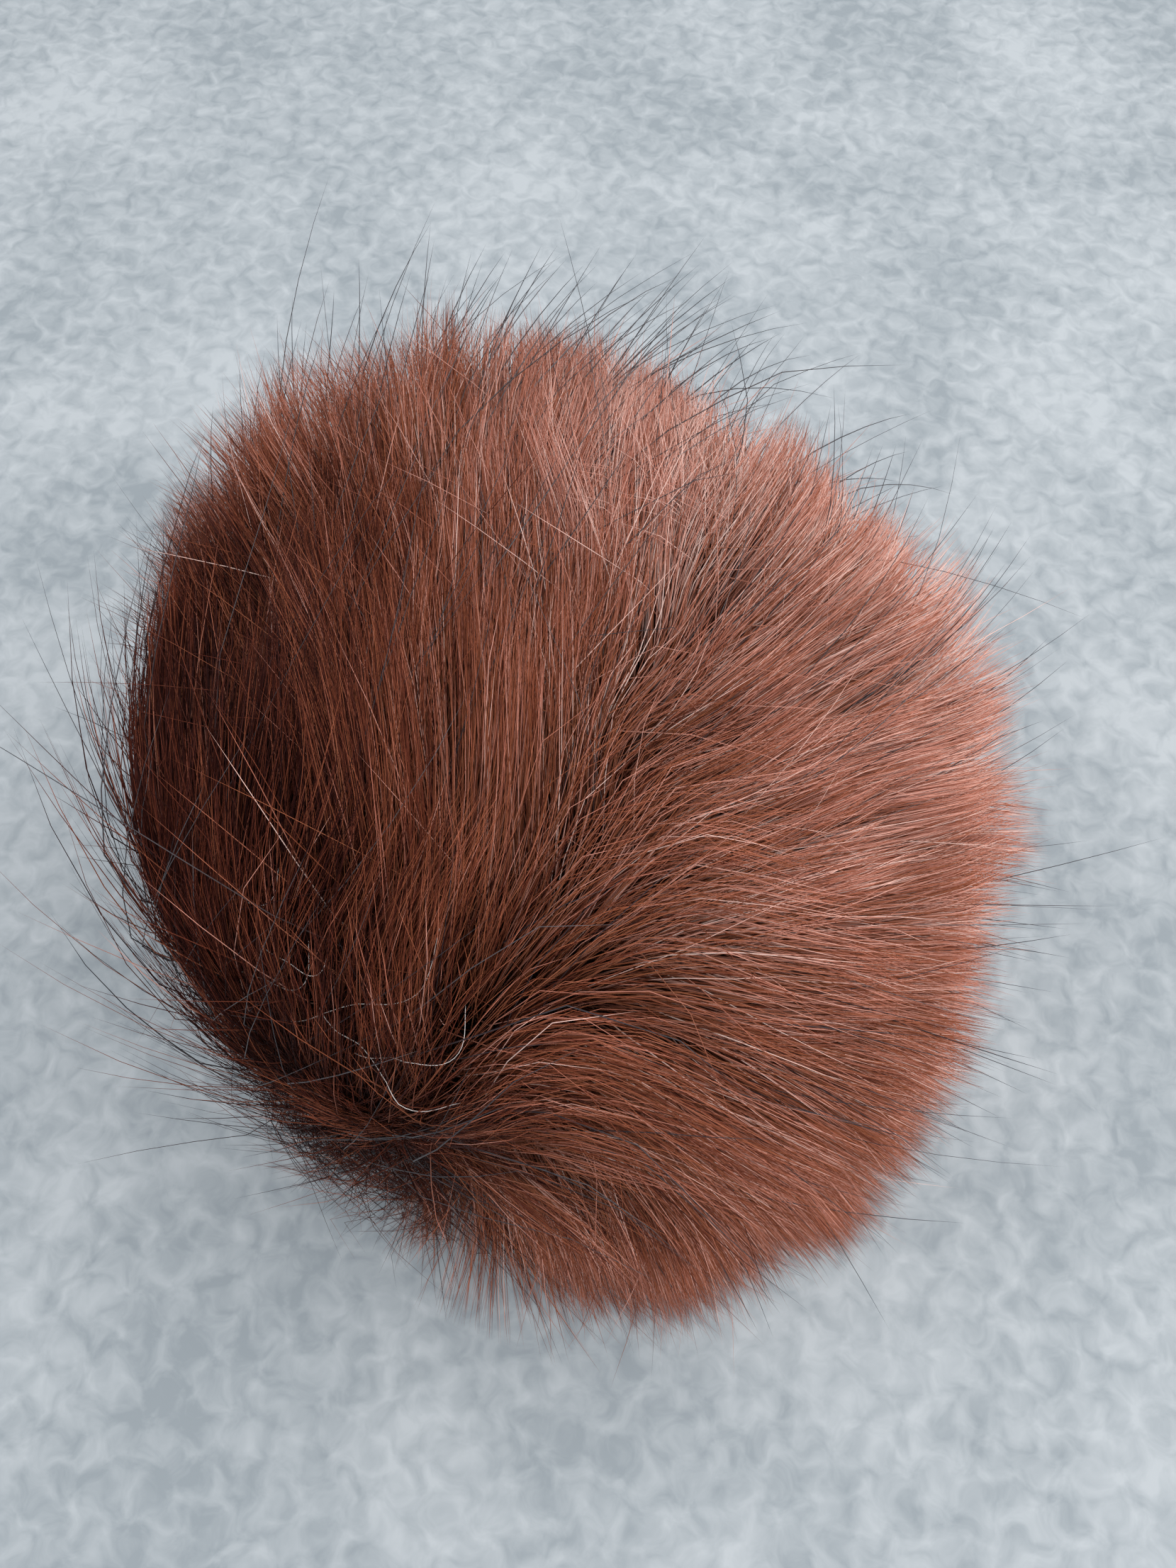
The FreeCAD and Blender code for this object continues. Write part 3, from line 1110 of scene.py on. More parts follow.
@dataclass
class StrandMesh:
    """Closed three-sided tapering tubes for many hairs in one mesh.

    Each hair has a centreline, a direction that its first side faces, a tone and a girth.
    """

    paths: np.ndarray
    sideways: np.ndarray
    kind: HairKind
    tones: np.ndarray
    girth: np.ndarray

    SIDES = 3
    MAP_WIDTH = 0.002
    CAP_WIDTH = 0.01
    TAPER = 1.6

    def points(self) -> np.ndarray:
        """All points: a ring at every step of each hair but the last, and one at its tip.

        Returns:
            Points of all hairs, one row each.
        """
        count, steps, _ = self.paths.shape
        run = unit(np.gradient(self.paths, axis=1))
        side = self.sideways[:, None, :]
        first = unit(side - run * np.sum(run * side, axis=2, keepdims=True))
        second = np.cross(run, first)
        share = np.linspace(0.0, 1.0, steps)
        taper = self.kind.root_radius - self.kind.tip_radius
        radius = self.kind.tip_radius + taper * (1.0 - share**self.TAPER)
        radius = radius[None, :, None] * self.girth[:, None, None]
        rings = []
        for number in range(self.SIDES):
            turn = 2.0 * math.pi * number / self.SIDES
            rings.append(self.paths + radius * (first * math.cos(turn) + second * math.sin(turn)))
        tubes = np.stack(rings, axis=2)[:, :-1].reshape(count, -1, 3)
        return np.concatenate([tubes, self.paths[:, -1:, :]], axis=1).reshape(-1, 3)

    def build(self, name: str) -> bpy.types.Mesh:
        """Mesh of the hairs, with their map along U and their tones along V.

        Args:
            name: the mesh's name.

        Returns:
            The mesh.
        """
        count, steps, _ = self.paths.shape
        rings = steps - 1
        corners, along, over, sizes = self.pattern(rings)
        base = (np.arange(count) * (rings * self.SIDES + 1))[:, None]
        loops = (base + corners[None, :]).ravel()
        places = self.points()
        mesh = bpy.data.meshes.new(name)
        mesh.vertices.add(len(places))
        mesh.vertices.foreach_set("co", places.astype(np.float32).ravel())
        mesh.loops.add(len(loops))
        mesh.loops.foreach_set("vertex_index", loops.astype(np.int32))
        starts = np.concatenate([[0], np.cumsum(np.tile(sizes, count))[:-1]])
        mesh.polygons.add(len(starts))
        mesh.polygons.foreach_set("loop_start", starts.astype(np.int32))
        mesh.update(calc_edges=True)
        chart = np.empty((len(loops), 2), np.float32)
        chart[:, 0] = np.tile(along, count)
        chart[:, 1] = np.repeat(self.tones, len(corners)) + np.tile(over, count) * self.MAP_WIDTH
        mesh.uv_layers.new(name=STRAND_MAP).data.foreach_set("uv", chart.ravel())
        mesh.shade_smooth()
        return mesh

    def pattern(self, rings: int) -> Tuple[np.ndarray, np.ndarray, np.ndarray, np.ndarray]:
        """One hair's faces.

        Args:
            rings: rings of points below the tip.

        Returns:
            Point number, place along the hair and side number of each face corner, and the
            number of corners of each face.
        """
        corners, along, over, sizes = [], [], [], []
        for row in range(rings - 1):
            low, high = row * self.SIDES, (row + 1) * self.SIDES
            for side in range(self.SIDES):
                nxt = (side + 1) % self.SIDES
                corners += [low + side, low + nxt, high + nxt, high + side]
                along += [row / rings, row / rings, (row + 1) / rings, (row + 1) / rings]
                over += [side, side + 1, side + 1, side]
                sizes.append(4)
        last = (rings - 1) * self.SIDES
        for side in range(self.SIDES):
            corners += [last + side, last + (side + 1) % self.SIDES, rings * self.SIDES]
            along += [(rings - 1) / rings, (rings - 1) / rings, 1.0]
            over += [side, side + 1, side + 0.5]
            sizes.append(3)
        corners += [2, 1, 0]
        along += [0.0, 0.0, self.CAP_WIDTH]
        over += [2, 1, 0]
        sizes.append(3)
        return np.array(corners), np.array(along), np.array(over, float), np.array(sizes)


@dataclass(frozen=True)
class DyeAndPaintedLight:
    """Each hair's tone, from 0 for the darkest to 1 for the palest: its own dye, with painted light and
    shade by region.
    """

    # Painted light and shade by region: the combed-over front and left lie dark, as if shaded from the
    # key; the rear, the parting side and the fanned right lie pale, as if lit.
    over_front: float = 0.15
    over_rear_light: float = 0.44
    over_inner_light: float = 0.28
    fan_lit_front: float = 0.59
    fan_rear_light: float = 0.15
    rear_start: float = -42.0 * MM
    rear_run: float = 74.0 * MM
    inner_start: float = -20.0 * MM
    inner_run: float = 30.0 * MM
    # Painted shade in the gather's hollow: hairs near it are darkened.
    pucker_shade: float = 0.17
    pucker_reach: float = 34.0 * MM
    patch: float = 0.14
    patch_size: float = 20.0 * MM
    streak: float = 0.17
    streak_size: float = 4.5 * MM
    own_spread: float = 0.14
    pale_share: float = 0.06
    pale_least: float = 0.15
    pale_most: float = 0.45
    darkest: float = 0.03
    palest: float = 0.97

    def tones(self, places: np.ndarray, comb: Comb, rng: np.random.Generator) -> np.ndarray:
        """Each hair's tone: painted shade and painted light by region, with its own patches, streaks and
        spread.

        Args:
            places: roots.
            comb: the nap, for its two styles.
            rng: source of chance.

        Returns:
            One tone for each hair.
        """
        count = len(places)
        # Painted light and shade: darker on the shaded front and left, paler towards the rear, the
        # parting and the lit fanned right.
        fan = comb.fanned(places)
        rear = smooth_step((places[:, 1] - self.rear_start) / self.rear_run)
        inner = smooth_step((places[:, 0] - self.inner_start) / self.inner_run)
        over = self.over_front + self.over_rear_light * rear + self.over_inner_light * inner
        base = (1.0 - fan) * over + fan * (self.fan_lit_front + self.fan_rear_light * rear)
        # Painted shade: hairs near the gather are darkened, as in its hollow.
        gap = np.linalg.norm(places - comb.pucker, axis=1)
        base = base - self.pucker_shade * np.exp(-((gap / self.pucker_reach) ** 2))
        broad = self.patch * noise_at(places, self.patch_size, 8.0)
        streak = self.streak * noise_at(places, self.streak_size, 1.7)
        tone = base + broad + streak + rng.normal(0.0, self.own_spread, count)
        pale = rng.random(count) < self.pale_share
        lifted = tone + rng.uniform(self.pale_least, self.pale_most, count)
        return np.clip(np.where(pale, lifted, tone), self.darkest, self.palest)


@dataclass
class FurCoat:
    """All the hair of the cover."""

    form: Form
    comb: Comb
    gauge: PileGauge
    fur: bpy.types.Material
    guard: bpy.types.Material
    stray: bpy.types.Material
    # The hairs' own tones, with painted light and shade by region.
    dyeandpaintedlight: DyeAndPaintedLight = DyeAndPaintedLight()
    under_count: int = 36000
    hem_count: int = 3800
    stray_count: int = 6
    zones: int = 6
    lock_spacing: float = 4.5 * MM
    hair_spacing: float = 0.55 * MM
    fewest_locks: int = 8
    flyaway_share: float = 0.045
    floor_gap: float = 0.35 * MM
    room: float = 9.2 * MM
    seed: int = 7
    stray_seed: int = 17

    UNDER = HairKind(
        root_radius=0.085 * MM,
        tip_radius=0.018 * MM,
        length_flat=30 * MM,
        length_fan=26 * MM,
        length_spread=0.14,
        sway_deg=8,
        gather=0.55,
        droop=0.04,
        rise=7 * MM,
    )
    HEM = HairKind(
        root_radius=0.07 * MM,
        tip_radius=0.016 * MM,
        length_flat=26 * MM,
        length_fan=28 * MM,
        length_spread=0.42,
        sway_deg=24,
        gather=0.18,
        droop=0.05,
        fall=0.55,
        rise=11 * MM,
    )
    GUARD = {
        Side.LEFT: HairKind(
            root_radius=0.11 * MM,
            tip_radius=0.022 * MM,
            length_flat=42 * MM,
            length_fan=34 * MM,
            length_spread=0.18,
            sway_deg=13,
            swing_deg=-20,
            droop=0.02,
            rise=13 * MM,
            points=8,
        ),
        Side.RIGHT: HairKind(
            root_radius=0.09 * MM,
            tip_radius=0.020 * MM,
            length_flat=40 * MM,
            length_fan=35 * MM,
            length_spread=0.18,
            sway_deg=14,
            droop=0.02,
            rise=12 * MM,
            points=8,
        ),
    }
    STRAY = HairKind(root_radius=0.06 * MM, tip_radius=0.03 * MM, points=26)
    GUARD_COUNT = {Side.LEFT: 820, Side.RIGHT: 640}
    GUARD_LEAST = 0.12
    GUARD_FRONT = 0.25
    GUARD_REAR = 0.75
    GUARD_FAN = 0.6
    FACING_SHARE = 0.6
    FRONT_LONGER = 0.45
    SHORTEST = 0.45
    LONGEST = 1.45
    LENGTH_TO_DEPTH = 1.12
    LOCK_LIFT = 0.10
    OWN_LIFT = 0.07
    LEAST_LIFT = 0.05
    MOST_LIFT = 0.98
    ROOT_BEND = 0.42
    LATER_BEND = 0.58
    BEND_RUN = 0.55
    MOST_LEAN_DEG = 110.0
    WAVE_SIZE = 16.0 * MM
    WAVE_SWAY = 1.5
    OWN_SWAY = 0.6
    LOOSE_SWAY = 0.7
    LOOSE_STAND = 0.2
    CURL = 0.14
    FALL_SPREAD = 1.35
    ROOT_SKIN = 0.45
    ALONG_SKIN = 0.55
    CORNER_WAY = (0.68, -0.73)
    CORNER_START = 36.0 * MM
    CORNER_RUN = 12.0 * MM
    SPARE_SHARE = 0.03
    STRAY_PLACE = np.array([-14.0, -38.0, 70.0]) * MM
    STRAY_PITCH = 4.5 * MM
    STRAY_SCATTER = 5.0
    STRAY_PROUD = 1.4

    def build(self) -> Dict[Side, List[bpy.types.Object]]:
        """Grows every sort of hair.

        Returns:
            The pieces of each panel.
        """
        made = {}
        for side in Side:
            rng = np.random.default_rng(self.seed + side.value)
            made[side] = self.grow_panel(side, rng) + [self.grow_guards(side, rng)]
        made[Side.LEFT].append(self.grow_strays(np.random.default_rng(self.stray_seed)))
        return made

    def roots(
        self,
        node: str,
        count: int,
        rng: np.random.Generator,
        side: Side,
    ) -> Tuple[np.ndarray, np.ndarray]:
        """Places spread evenly over the outer face of a node of the frame.

        Args:
            node: the node's name.
            count: how many places.
            rng: source of chance.
            side: keeps the places on this side of the seam.

        Returns:
            Places and smooth outward directions.
        """
        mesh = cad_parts[node].data
        mesh.calc_loop_triangles()
        spots = np.array([v.co for v in mesh.vertices])
        corners = spots[np.array([t.vertices for t in mesh.loop_triangles])]
        across = np.cross(corners[:, 1] - corners[:, 0], corners[:, 2] - corners[:, 0])
        middle = corners.mean(axis=1)
        outward = np.sum(unit(across) * self.form.normal(middle), axis=1)
        facing = outward > self.FACING_SHARE
        area = np.linalg.norm(across, axis=1) * (facing & (middle[:, 0] * side.value > 0.0))
        pick = corners[rng.choice(len(area), size=count, p=area / area.sum())]
        first, second = rng.random((2, count, 1))
        flip = first + second > 1.0
        first, second = np.where(flip, 1.0 - first, first), np.where(flip, 1.0 - second, second)
        places = pick[:, 0] + first * (pick[:, 1] - pick[:, 0]) + second * (pick[:, 2] - pick[:, 0])
        return places, self.form.normal(places)

    def locks(self, places: np.ndarray, rng: np.random.Generator) -> np.ndarray:
        """Index of the hair that leads each hair's lock: the nearest of a scattered few.

        Args:
            places: roots.
            rng: source of chance.

        Returns:
            One index for each hair.
        """
        share = (self.hair_spacing / self.lock_spacing) ** 2
        wanted = max(self.fewest_locks, int(len(places) * share))
        heads = rng.choice(len(places), size=min(wanted, len(places)), replace=False)
        tree = kdtree.KDTree(len(heads))
        for number, head in enumerate(heads):
            tree.insert(places[head], number)
        tree.balance()
        return np.array([heads[tree.find(p)[1]] for p in places])

    def lean_for(self, share: np.ndarray) -> np.ndarray:
        """Lean of the tip, in radians, at which a hair stands up by a share of its length.

        Args:
            share: heights, as shares of the hairs' lengths.

        Returns:
            Leans of the tips.
        """
        leans = np.radians(np.linspace(0.0, self.MOST_LEAN_DEG, 60))
        steps = np.linspace(0.1, 0.9, 5)
        heights = np.array([np.mean(np.cos(lean * self.bend(steps))) for lean in leans])
        return np.interp(share, heights[::-1], leans[::-1])

    def bend(self, along: np.ndarray) -> np.ndarray:
        """How much of its full lean a hair has, from its root to its tip."""
        return self.ROOT_BEND + self.LATER_BEND * smooth_step(along / self.BEND_RUN)

    def turns(
        self,
        places: np.ndarray,
        heads: np.ndarray,
        kind: HairKind,
        rng: np.random.Generator,
    ) -> Tuple[np.ndarray, np.ndarray]:
        """How far each hair swings aside from the nap.

        Args:
            places: roots.
            heads: index of the hair that leads each hair's lock.
            kind: the hairs' sizes.
            rng: source of chance.

        Returns:
            Turns in radians, and which hairs stand loose of their locks.
        """
        count = len(places)
        shared = rng.normal(0.0, 1.0, count)[heads]
        wave = noise_at(places, self.WAVE_SIZE, 3.1)
        sway = math.radians(kind.sway_deg)
        turn = sway * (self.WAVE_SWAY * wave + shared + self.OWN_SWAY * rng.normal(0.0, 1.0, count))
        turn = turn + math.radians(kind.swing_deg)
        loose = rng.random(count) < self.flyaway_share
        return turn + loose * rng.normal(0.0, self.LOOSE_SWAY, count), loose

    def lengths(
        self,
        places: np.ndarray,
        normals: np.ndarray,
        kind: HairKind,
        rng: np.random.Generator,
    ) -> np.ndarray:
        """How long each hair is, by its style and by chance.

        Args:
            places: roots.
            normals: outward directions at the roots.
            kind: the hairs' sizes.
            rng: source of chance.

        Returns:
            Lengths in metres.
        """
        fan = self.comb.fanned(places)
        length = kind.length_flat + (kind.length_fan - kind.length_flat) * fan
        length = length * (1.0 + self.FRONT_LONGER * (1.0 - fan) * smooth_step(-normals[:, 1]))
        chance = 1.0 + kind.length_spread * rng.normal(0.0, 1.0, len(places))
        return length * np.clip(chance, self.SHORTEST, self.LONGEST)

    def paths(
        self,
        places: np.ndarray,
        normals: np.ndarray,
        kind: HairKind,
        rng: np.random.Generator,
    ) -> Tuple[np.ndarray, np.ndarray]:
        """Centrelines of hairs that rise from the skin, lean along the nap and close into locks.

        Args:
            places: roots.
            normals: outward directions at the roots.
            kind: the hairs' sizes.
            rng: source of chance.

        Returns:
            Centrelines and, for each hair, a direction square to its bend.
        """
        count = len(places)
        heads = self.locks(places, rng)
        turn, loose = self.turns(places, heads, kind, rng)
        length = self.lengths(places, normals, kind, rng)
        depth = self.gauge.depth(places, normals) + kind.rise * self.stand(places, kind)
        length = np.maximum(length, self.LENGTH_TO_DEPTH * depth)
        lift = 1.0 + self.LOCK_LIFT * rng.normal(0.0, 1.0, count)[heads]
        lift = lift + self.OWN_LIFT * rng.normal(0.0, 1.0, count)
        risen = np.clip(lift * depth / length, self.LEAST_LIFT, self.MOST_LIFT)
        full = self.lean_for(risen) - loose * self.LOOSE_STAND
        curl = rng.normal(0.0, self.CURL, count)[:, None]
        fall = kind.fall * rng.uniform(0.0, self.FALL_SPREAD, count)[:, None]
        line = [places]
        share = np.linspace(0.0, 1.0, kind.points)
        cos_turn = np.cos(turn)[:, None]
        sin_turn = np.sin(turn)[:, None]
        for place in (share[1:] + share[:-1]) / 2:
            up = unit(self.ROOT_SKIN * normals + self.ALONG_SKIN * self.form.normal(line[-1]))
            nap = self.comb.flow(line[-1], up)
            nap = unit((1.0 - fall) * nap - fall * UP)
            square = np.cross(up, nap)
            nap = nap * cos_turn + square * (sin_turn + curl * place)
            lean = (full * self.bend(np.array(place)))[:, None]
            way = up * np.cos(lean) + nap * np.sin(lean) - UP * kind.droop * place
            line.append(line[-1] + unit(way) * (length / (kind.points - 1))[:, None])
        line = np.stack(line, axis=1)
        pull = (kind.gather * rng.uniform(0.3, 1.2, count) * ~loose)[:, None, None]
        drawn = (line[heads] - line) * pull * (share**1.5)[None, :, None]
        return self.keep_inside(line + drawn), square

    def stand(self, places: np.ndarray, kind: HairKind) -> np.ndarray:
        """Share of its rise that a hair has.

        Under hair rises at the front right corner alone, and the hem's everywhere. Guard hairs lie
        closer to the nap in front and on the left.

        Args:
            places: roots.
            kind: the hairs' sizes.

        Returns:
            One share for each hair.
        """
        if kind is self.UNDER:
            toward = self.CORNER_WAY[0] * places[:, 0] + self.CORNER_WAY[1] * places[:, 1]
            return smooth_step((toward - self.CORNER_START) / self.CORNER_RUN)
        if kind is self.HEM:
            return np.ones(len(places))
        rear = smooth_step((places[:, 1] - 0.2 * places[:, 0]) / (30.0 * MM))
        behind = self.GUARD_FRONT + self.GUARD_REAR * rear
        return np.maximum(behind, self.GUARD_FAN * self.comb.fanned(places))

    def keep_inside(self, line: np.ndarray) -> np.ndarray:
        """Shortens hairs that reach past the room round the body, and lays low ones on the floor.

        Args:
            line: centrelines of hairs.

        Returns:
            The centrelines, shortened.
        """
        low = np.array(CAD_BOX[0])
        high = np.array(CAD_BOX[1])
        spare = self.SPARE_SHARE * (high - low) + self.room
        root = line[:, 0]
        reach = line[:, -1] - root
        limit = np.where(reach > 0.0, high + spare, low - spare) - root
        moves = np.abs(reach) > 1e-7
        share = np.where(moves, limit / np.where(moves, reach, np.inf), 9.0)
        share[:, 2] = np.where(reach[:, 2] > 0.0, share[:, 2], 9.0)
        fit = np.clip(share.min(axis=1), 0.2, 1.0)
        line = root[:, None, :] + (line - root[:, None, :]) * fit[:, None, None]
        line[:, :, 2] = np.maximum(line[:, :, 2], self.floor_gap)
        return line

    def piece(
        self,
        name: str,
        strands: StrandMesh,
        material: bpy.types.Material,
        nodes: Sequence[str] = (),
    ) -> bpy.types.Object:
        """Makes one object of hairs that rides on the cover, in place of some solids."""
        return fitted(add_object(name, strands.build(name), material), Body.COVER, nodes)

    def grow_panel(self, side: Side, rng: np.random.Generator) -> List[bpy.types.Object]:
        """Dense hair of one panel, in zones round the body, and the fringe along its hem.

        Args:
            side: which panel.
            rng: source of chance.

        Returns:
            The zones and the fringe.
        """
        node = side.word + "_pile"
        places, normals = self.roots(side.word + "_backing", self.under_count, rng, side)
        paths, square = self.paths(places, normals, self.UNDER, rng)
        tones = self.dyeandpaintedlight.tones(places, self.comb, rng)
        order = np.argsort(np.arctan2(places[:, 1], places[:, 0] * side.value))
        made = []
        for number, part in enumerate(np.array_split(order, self.zones), start=1):
            girth = rng.uniform(0.7, 1.25, len(part))
            strands = StrandMesh(paths[part], square[part], self.UNDER, tones[part], girth)
            made.append(self.piece(f"{side.word}_fur_{number}", strands, self.fur, [node]))
        places, normals = self.roots("hem_channel", self.hem_count, rng, side)
        paths, square = self.paths(places, normals, self.HEM, rng)
        girth = rng.uniform(0.7, 1.2, len(places))
        tones = self.dyeandpaintedlight.tones(places, self.comb, rng)
        strands = StrandMesh(paths, square, self.HEM, tones, girth)
        made.append(self.piece(side.word + "_hem_fur", strands, self.fur, [node]))
        return made

    def grow_guards(self, side: Side, rng: np.random.Generator) -> bpy.types.Object:
        """Sparse long straight hairs of one panel.

        Args:
            side: which panel.
            rng: source of chance.

        Returns:
            The piece.
        """
        kind = self.GUARD[side]
        places, normals = self.roots(side.word + "_backing", self.GUARD_COUNT[side], rng, side)
        keep = rng.random(len(places)) < self.GUARD_LEAST + self.stand(places, kind)
        places, normals = places[keep], normals[keep]
        paths, square = self.paths(places, normals, kind, rng)
        girth = rng.uniform(0.6, 1.3, len(places))
        tones = rng.uniform(0.02, 0.95, len(places))
        strands = StrandMesh(paths, square, kind, tones, girth)
        return self.piece(side.word + "_guard_hairs", strands, self.guard, [side.word + "_pile"])

    def grow_strays(self, rng: np.random.Generator) -> bpy.types.Object:
        """A few loose curly hairs that lie on the fur above the gather.

        Args:
            rng: source of chance.

        Returns:
            The piece.
        """
        count = self.stray_count
        steps = self.STRAY.points
        share = np.linspace(0.0, 1.0, steps)
        facing = unit(np.array([0.0, -0.6, 0.8]))
        across = np.array([1.0, 0.0, 0.0])
        upward = np.array([0.0, 0.8, 0.6])
        lines = []
        for number in range(count):
            aside = self.STRAY_PITCH * (number - (count - 1) / 2)
            higher = rng.uniform(-self.STRAY_SCATTER, self.STRAY_SCATTER) * MM
            length = rng.uniform(12, 26) * MM / steps
            heading = rng.uniform(-1.0, 0.4) + rng.uniform(1.2, 2.6) * share + 0.4 * np.sin(9.0 * share)
            run = np.outer(np.cos(heading), across) + np.outer(np.sin(heading), upward)
            start = self.STRAY_PLACE + aside * across + higher * upward
            line = self.gauge.laid(start + length * np.cumsum(run, axis=0), facing)
            lines.append(line + facing * self.STRAY_PROUD * MM)
        squares = np.tile(facing, (count, 1))
        strands = StrandMesh(np.array(lines), squares, self.STRAY, rng.random(count), np.ones(count))
        return self.piece("stray_hairs", strands, self.stray)


# ------------------------------------------------------------------ sewing


@dataclass
class Stitcher:
    """Rows of thread stitches along lines on the cloth."""

    thread: bpy.types.Material

    KIND = HairKind(root_radius=0.17 * MM, tip_radius=0.14 * MM, points=5)
    THREAD_SHARE = 0.74
    ARCH = 0.16 * MM

    def row(
        self,
        name: str,
        line: np.ndarray,
        outward: np.ndarray,
        slot: str,
        pitch: float = 2.2 * MM,
        slant: float = 0.0,
    ) -> bpy.types.Object:
        """One row of arched stitches.

        Args:
            name: the row's name.
            line: close points along the row.
            outward: direction off the cloth at each point.
            slot: finish slot of the cloth that it is sewn to; not used.
            pitch: length of a stitch with its gap.
            slant: how far each stitch climbs, turn about, for an overlocked edge.

        Returns:
            The row, riding on the cover.
        """
        steps = np.concatenate([[0.0], np.cumsum(np.linalg.norm(np.diff(line, axis=0), axis=1))])
        count = int(steps[-1] / pitch)
        share = np.linspace(0.0, 1.0, self.KIND.points)
        where = (np.arange(count)[:, None] + self.THREAD_SHARE * share[None, :]) * pitch
        place = np.stack([np.interp(where, steps, line[:, axis]) for axis in range(3)], axis=2)
        away = np.stack([np.interp(where, steps, outward[:, axis]) for axis in range(3)], axis=2)
        climb = slant * (share - 0.5)[None, :] * np.where(np.arange(count) % 2, 1.0, -1.0)[:, None]
        paths = place + away * (self.ARCH * np.sin(math.pi * share))[None, :, None]
        paths = paths + climb[:, :, None] * UP
        strands = StrandMesh(paths, away[:, 0], self.KIND, np.full(count, 0.5), np.ones(count))
        return fitted(add_object(name, strands.build(name), self.thread), Body.COVER)


# ------------------------------------------------------------------ cover cloth


@dataclass
class CoverShell:
    """Cloth layers of the cover: linings, backings and the binding of the centre seam."""

    form: Form
    stitcher: Stitcher
    lining: bpy.types.Material
    backing: bpy.types.Material
    binding: bpy.types.Material
    turned_edge: float = 1.0 * MM
    stitch_inset: float = 1.2 * MM

    def __post_init__(self) -> None:
        """Reads half the binding's width from the frame."""
        self.seam_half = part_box("seam_tape")[1][0]

    def build(self, fur: Dict[Side, List[bpy.types.Object]]) -> List[bpy.types.Object]:
        """Args:
            fur: the fur of each panel; not used.

        Returns:
            The binding and the cloth panels.
        """
        made = [self.make_binding()]
        inner = (self.form.lining_in, self.form.lining_out)
        outer = (self.form.lining_out, self.form.backing_out)
        for side in Side:
            name = side.word + "_lining"
            made.append(self.make_panel(name, side, inner, self.seam_half, self.lining))
            name = side.word + "_backing"
            made.append(self.make_panel(name, side, outer, 0.0, self.backing))
        return made

    def cut_layer(
        self,
        name: str,
        between: Tuple[float, float],
        span: Tuple[float, float],
        material: bpy.types.Material,
    ) -> Tuple[bpy.types.Object, float]:
        """Cuts one layer out of the shell between two upright planes.

        Args:
            name: the layer's name.
            between: growths of its inner and outer faces.
            span: least and greatest X.
            material: its finish.

        Returns:
            The layer with its thickness, and its area in the flat.
        """
        rings = self.form.shell(sum(between) / 2, self.form.hem_height)
        around = len(rings[0])
        faces = tube_faces(len(rings), around)
        faces.append(list(range((len(rings) - 1) * around, len(rings) * around)))
        mesh = mesh_from(name, np.concatenate(rings), faces)
        bench = bmesh.new()
        bench.from_mesh(mesh)
        for edge, way in ((span[0], -1.0), (span[1], 1.0)):
            bmesh.ops.bisect_plane(
                bench,
                geom=list(bench.verts) + list(bench.edges) + list(bench.faces),
                plane_co=(edge, 0.0, 0.0),
                plane_no=(way, 0.0, 0.0),
                clear_outer=True,
            )
        area = sum(face.calc_area() for face in bench.faces)
        bench.to_mesh(mesh)
        bench.free()
        made = add_object(name, mesh, material)
        cloth = made.modifiers.new("cloth", "SOLIDIFY")
        cloth.thickness = between[1] - between[0]
        cloth.offset = 0.0
        return settled(made), area

    def make_panel(
        self,
        node: str,
        side: Side,
        between: Tuple[float, float],
        start: float,
        material: bpy.types.Material,
    ) -> bpy.types.Object:
        """One panel of a layer, from the seam down to the hem.

        Args:
            node: the node that it stands for.
            side: which panel.
            between: growths of its inner and outer faces.
            start: distance of its edge from the centre seam.
            material: its finish.

        Returns:
            The panel.
        """
        span = (start, 1.0) if side is Side.RIGHT else (-1.0, -start)
        made, area = self.cut_layer(node + "_cloth", between, span, material)
        growth, low = sum(between) / 2, self.form.hem_height
        width = line_length(self.form.run(3, growth, low)) - start
        length = line_length(self.form.wall_ring(growth, low)) / 2
        fitted(made, Body.COVER, [node])
        log_cut(made, (width, length))
        return made

    def make_binding(self) -> bpy.types.Object:
        """Binding over the seam allowance, with a row of stitches along each edge.

        Returns:
            The binding.
        """
        between = (self.form.lining_in, self.form.lining_out)
        span = (-self.seam_half, self.seam_half)
        made, _ = self.cut_layer("seam_binding", between, span, self.binding)
        fitted(made, Body.COVER, ["seam_tape"])
        growth, low = self.form.lining_in, self.form.hem_height
        front, rear = self.form.run(2, growth, low), self.form.run(0, growth, low)
        over = np.concatenate([front, rear[::-1][1:]])
        over[:, 0] = 0.0
        for number, way in enumerate((-1.0, 1.0), start=1):
            line = over + np.array([way * (self.seam_half - self.stitch_inset), 0.0, 0.0])
            name = f"seam_stitches_{number}"
            self.stitcher.row(name, line, -self.form.normal(line), "seam_tape")
        flat = (2.0 * (self.seam_half + self.turned_edge), line_length(over))
        log_cut(made, flat)
        return made


# ------------------------------------------------------------------ gathered hem


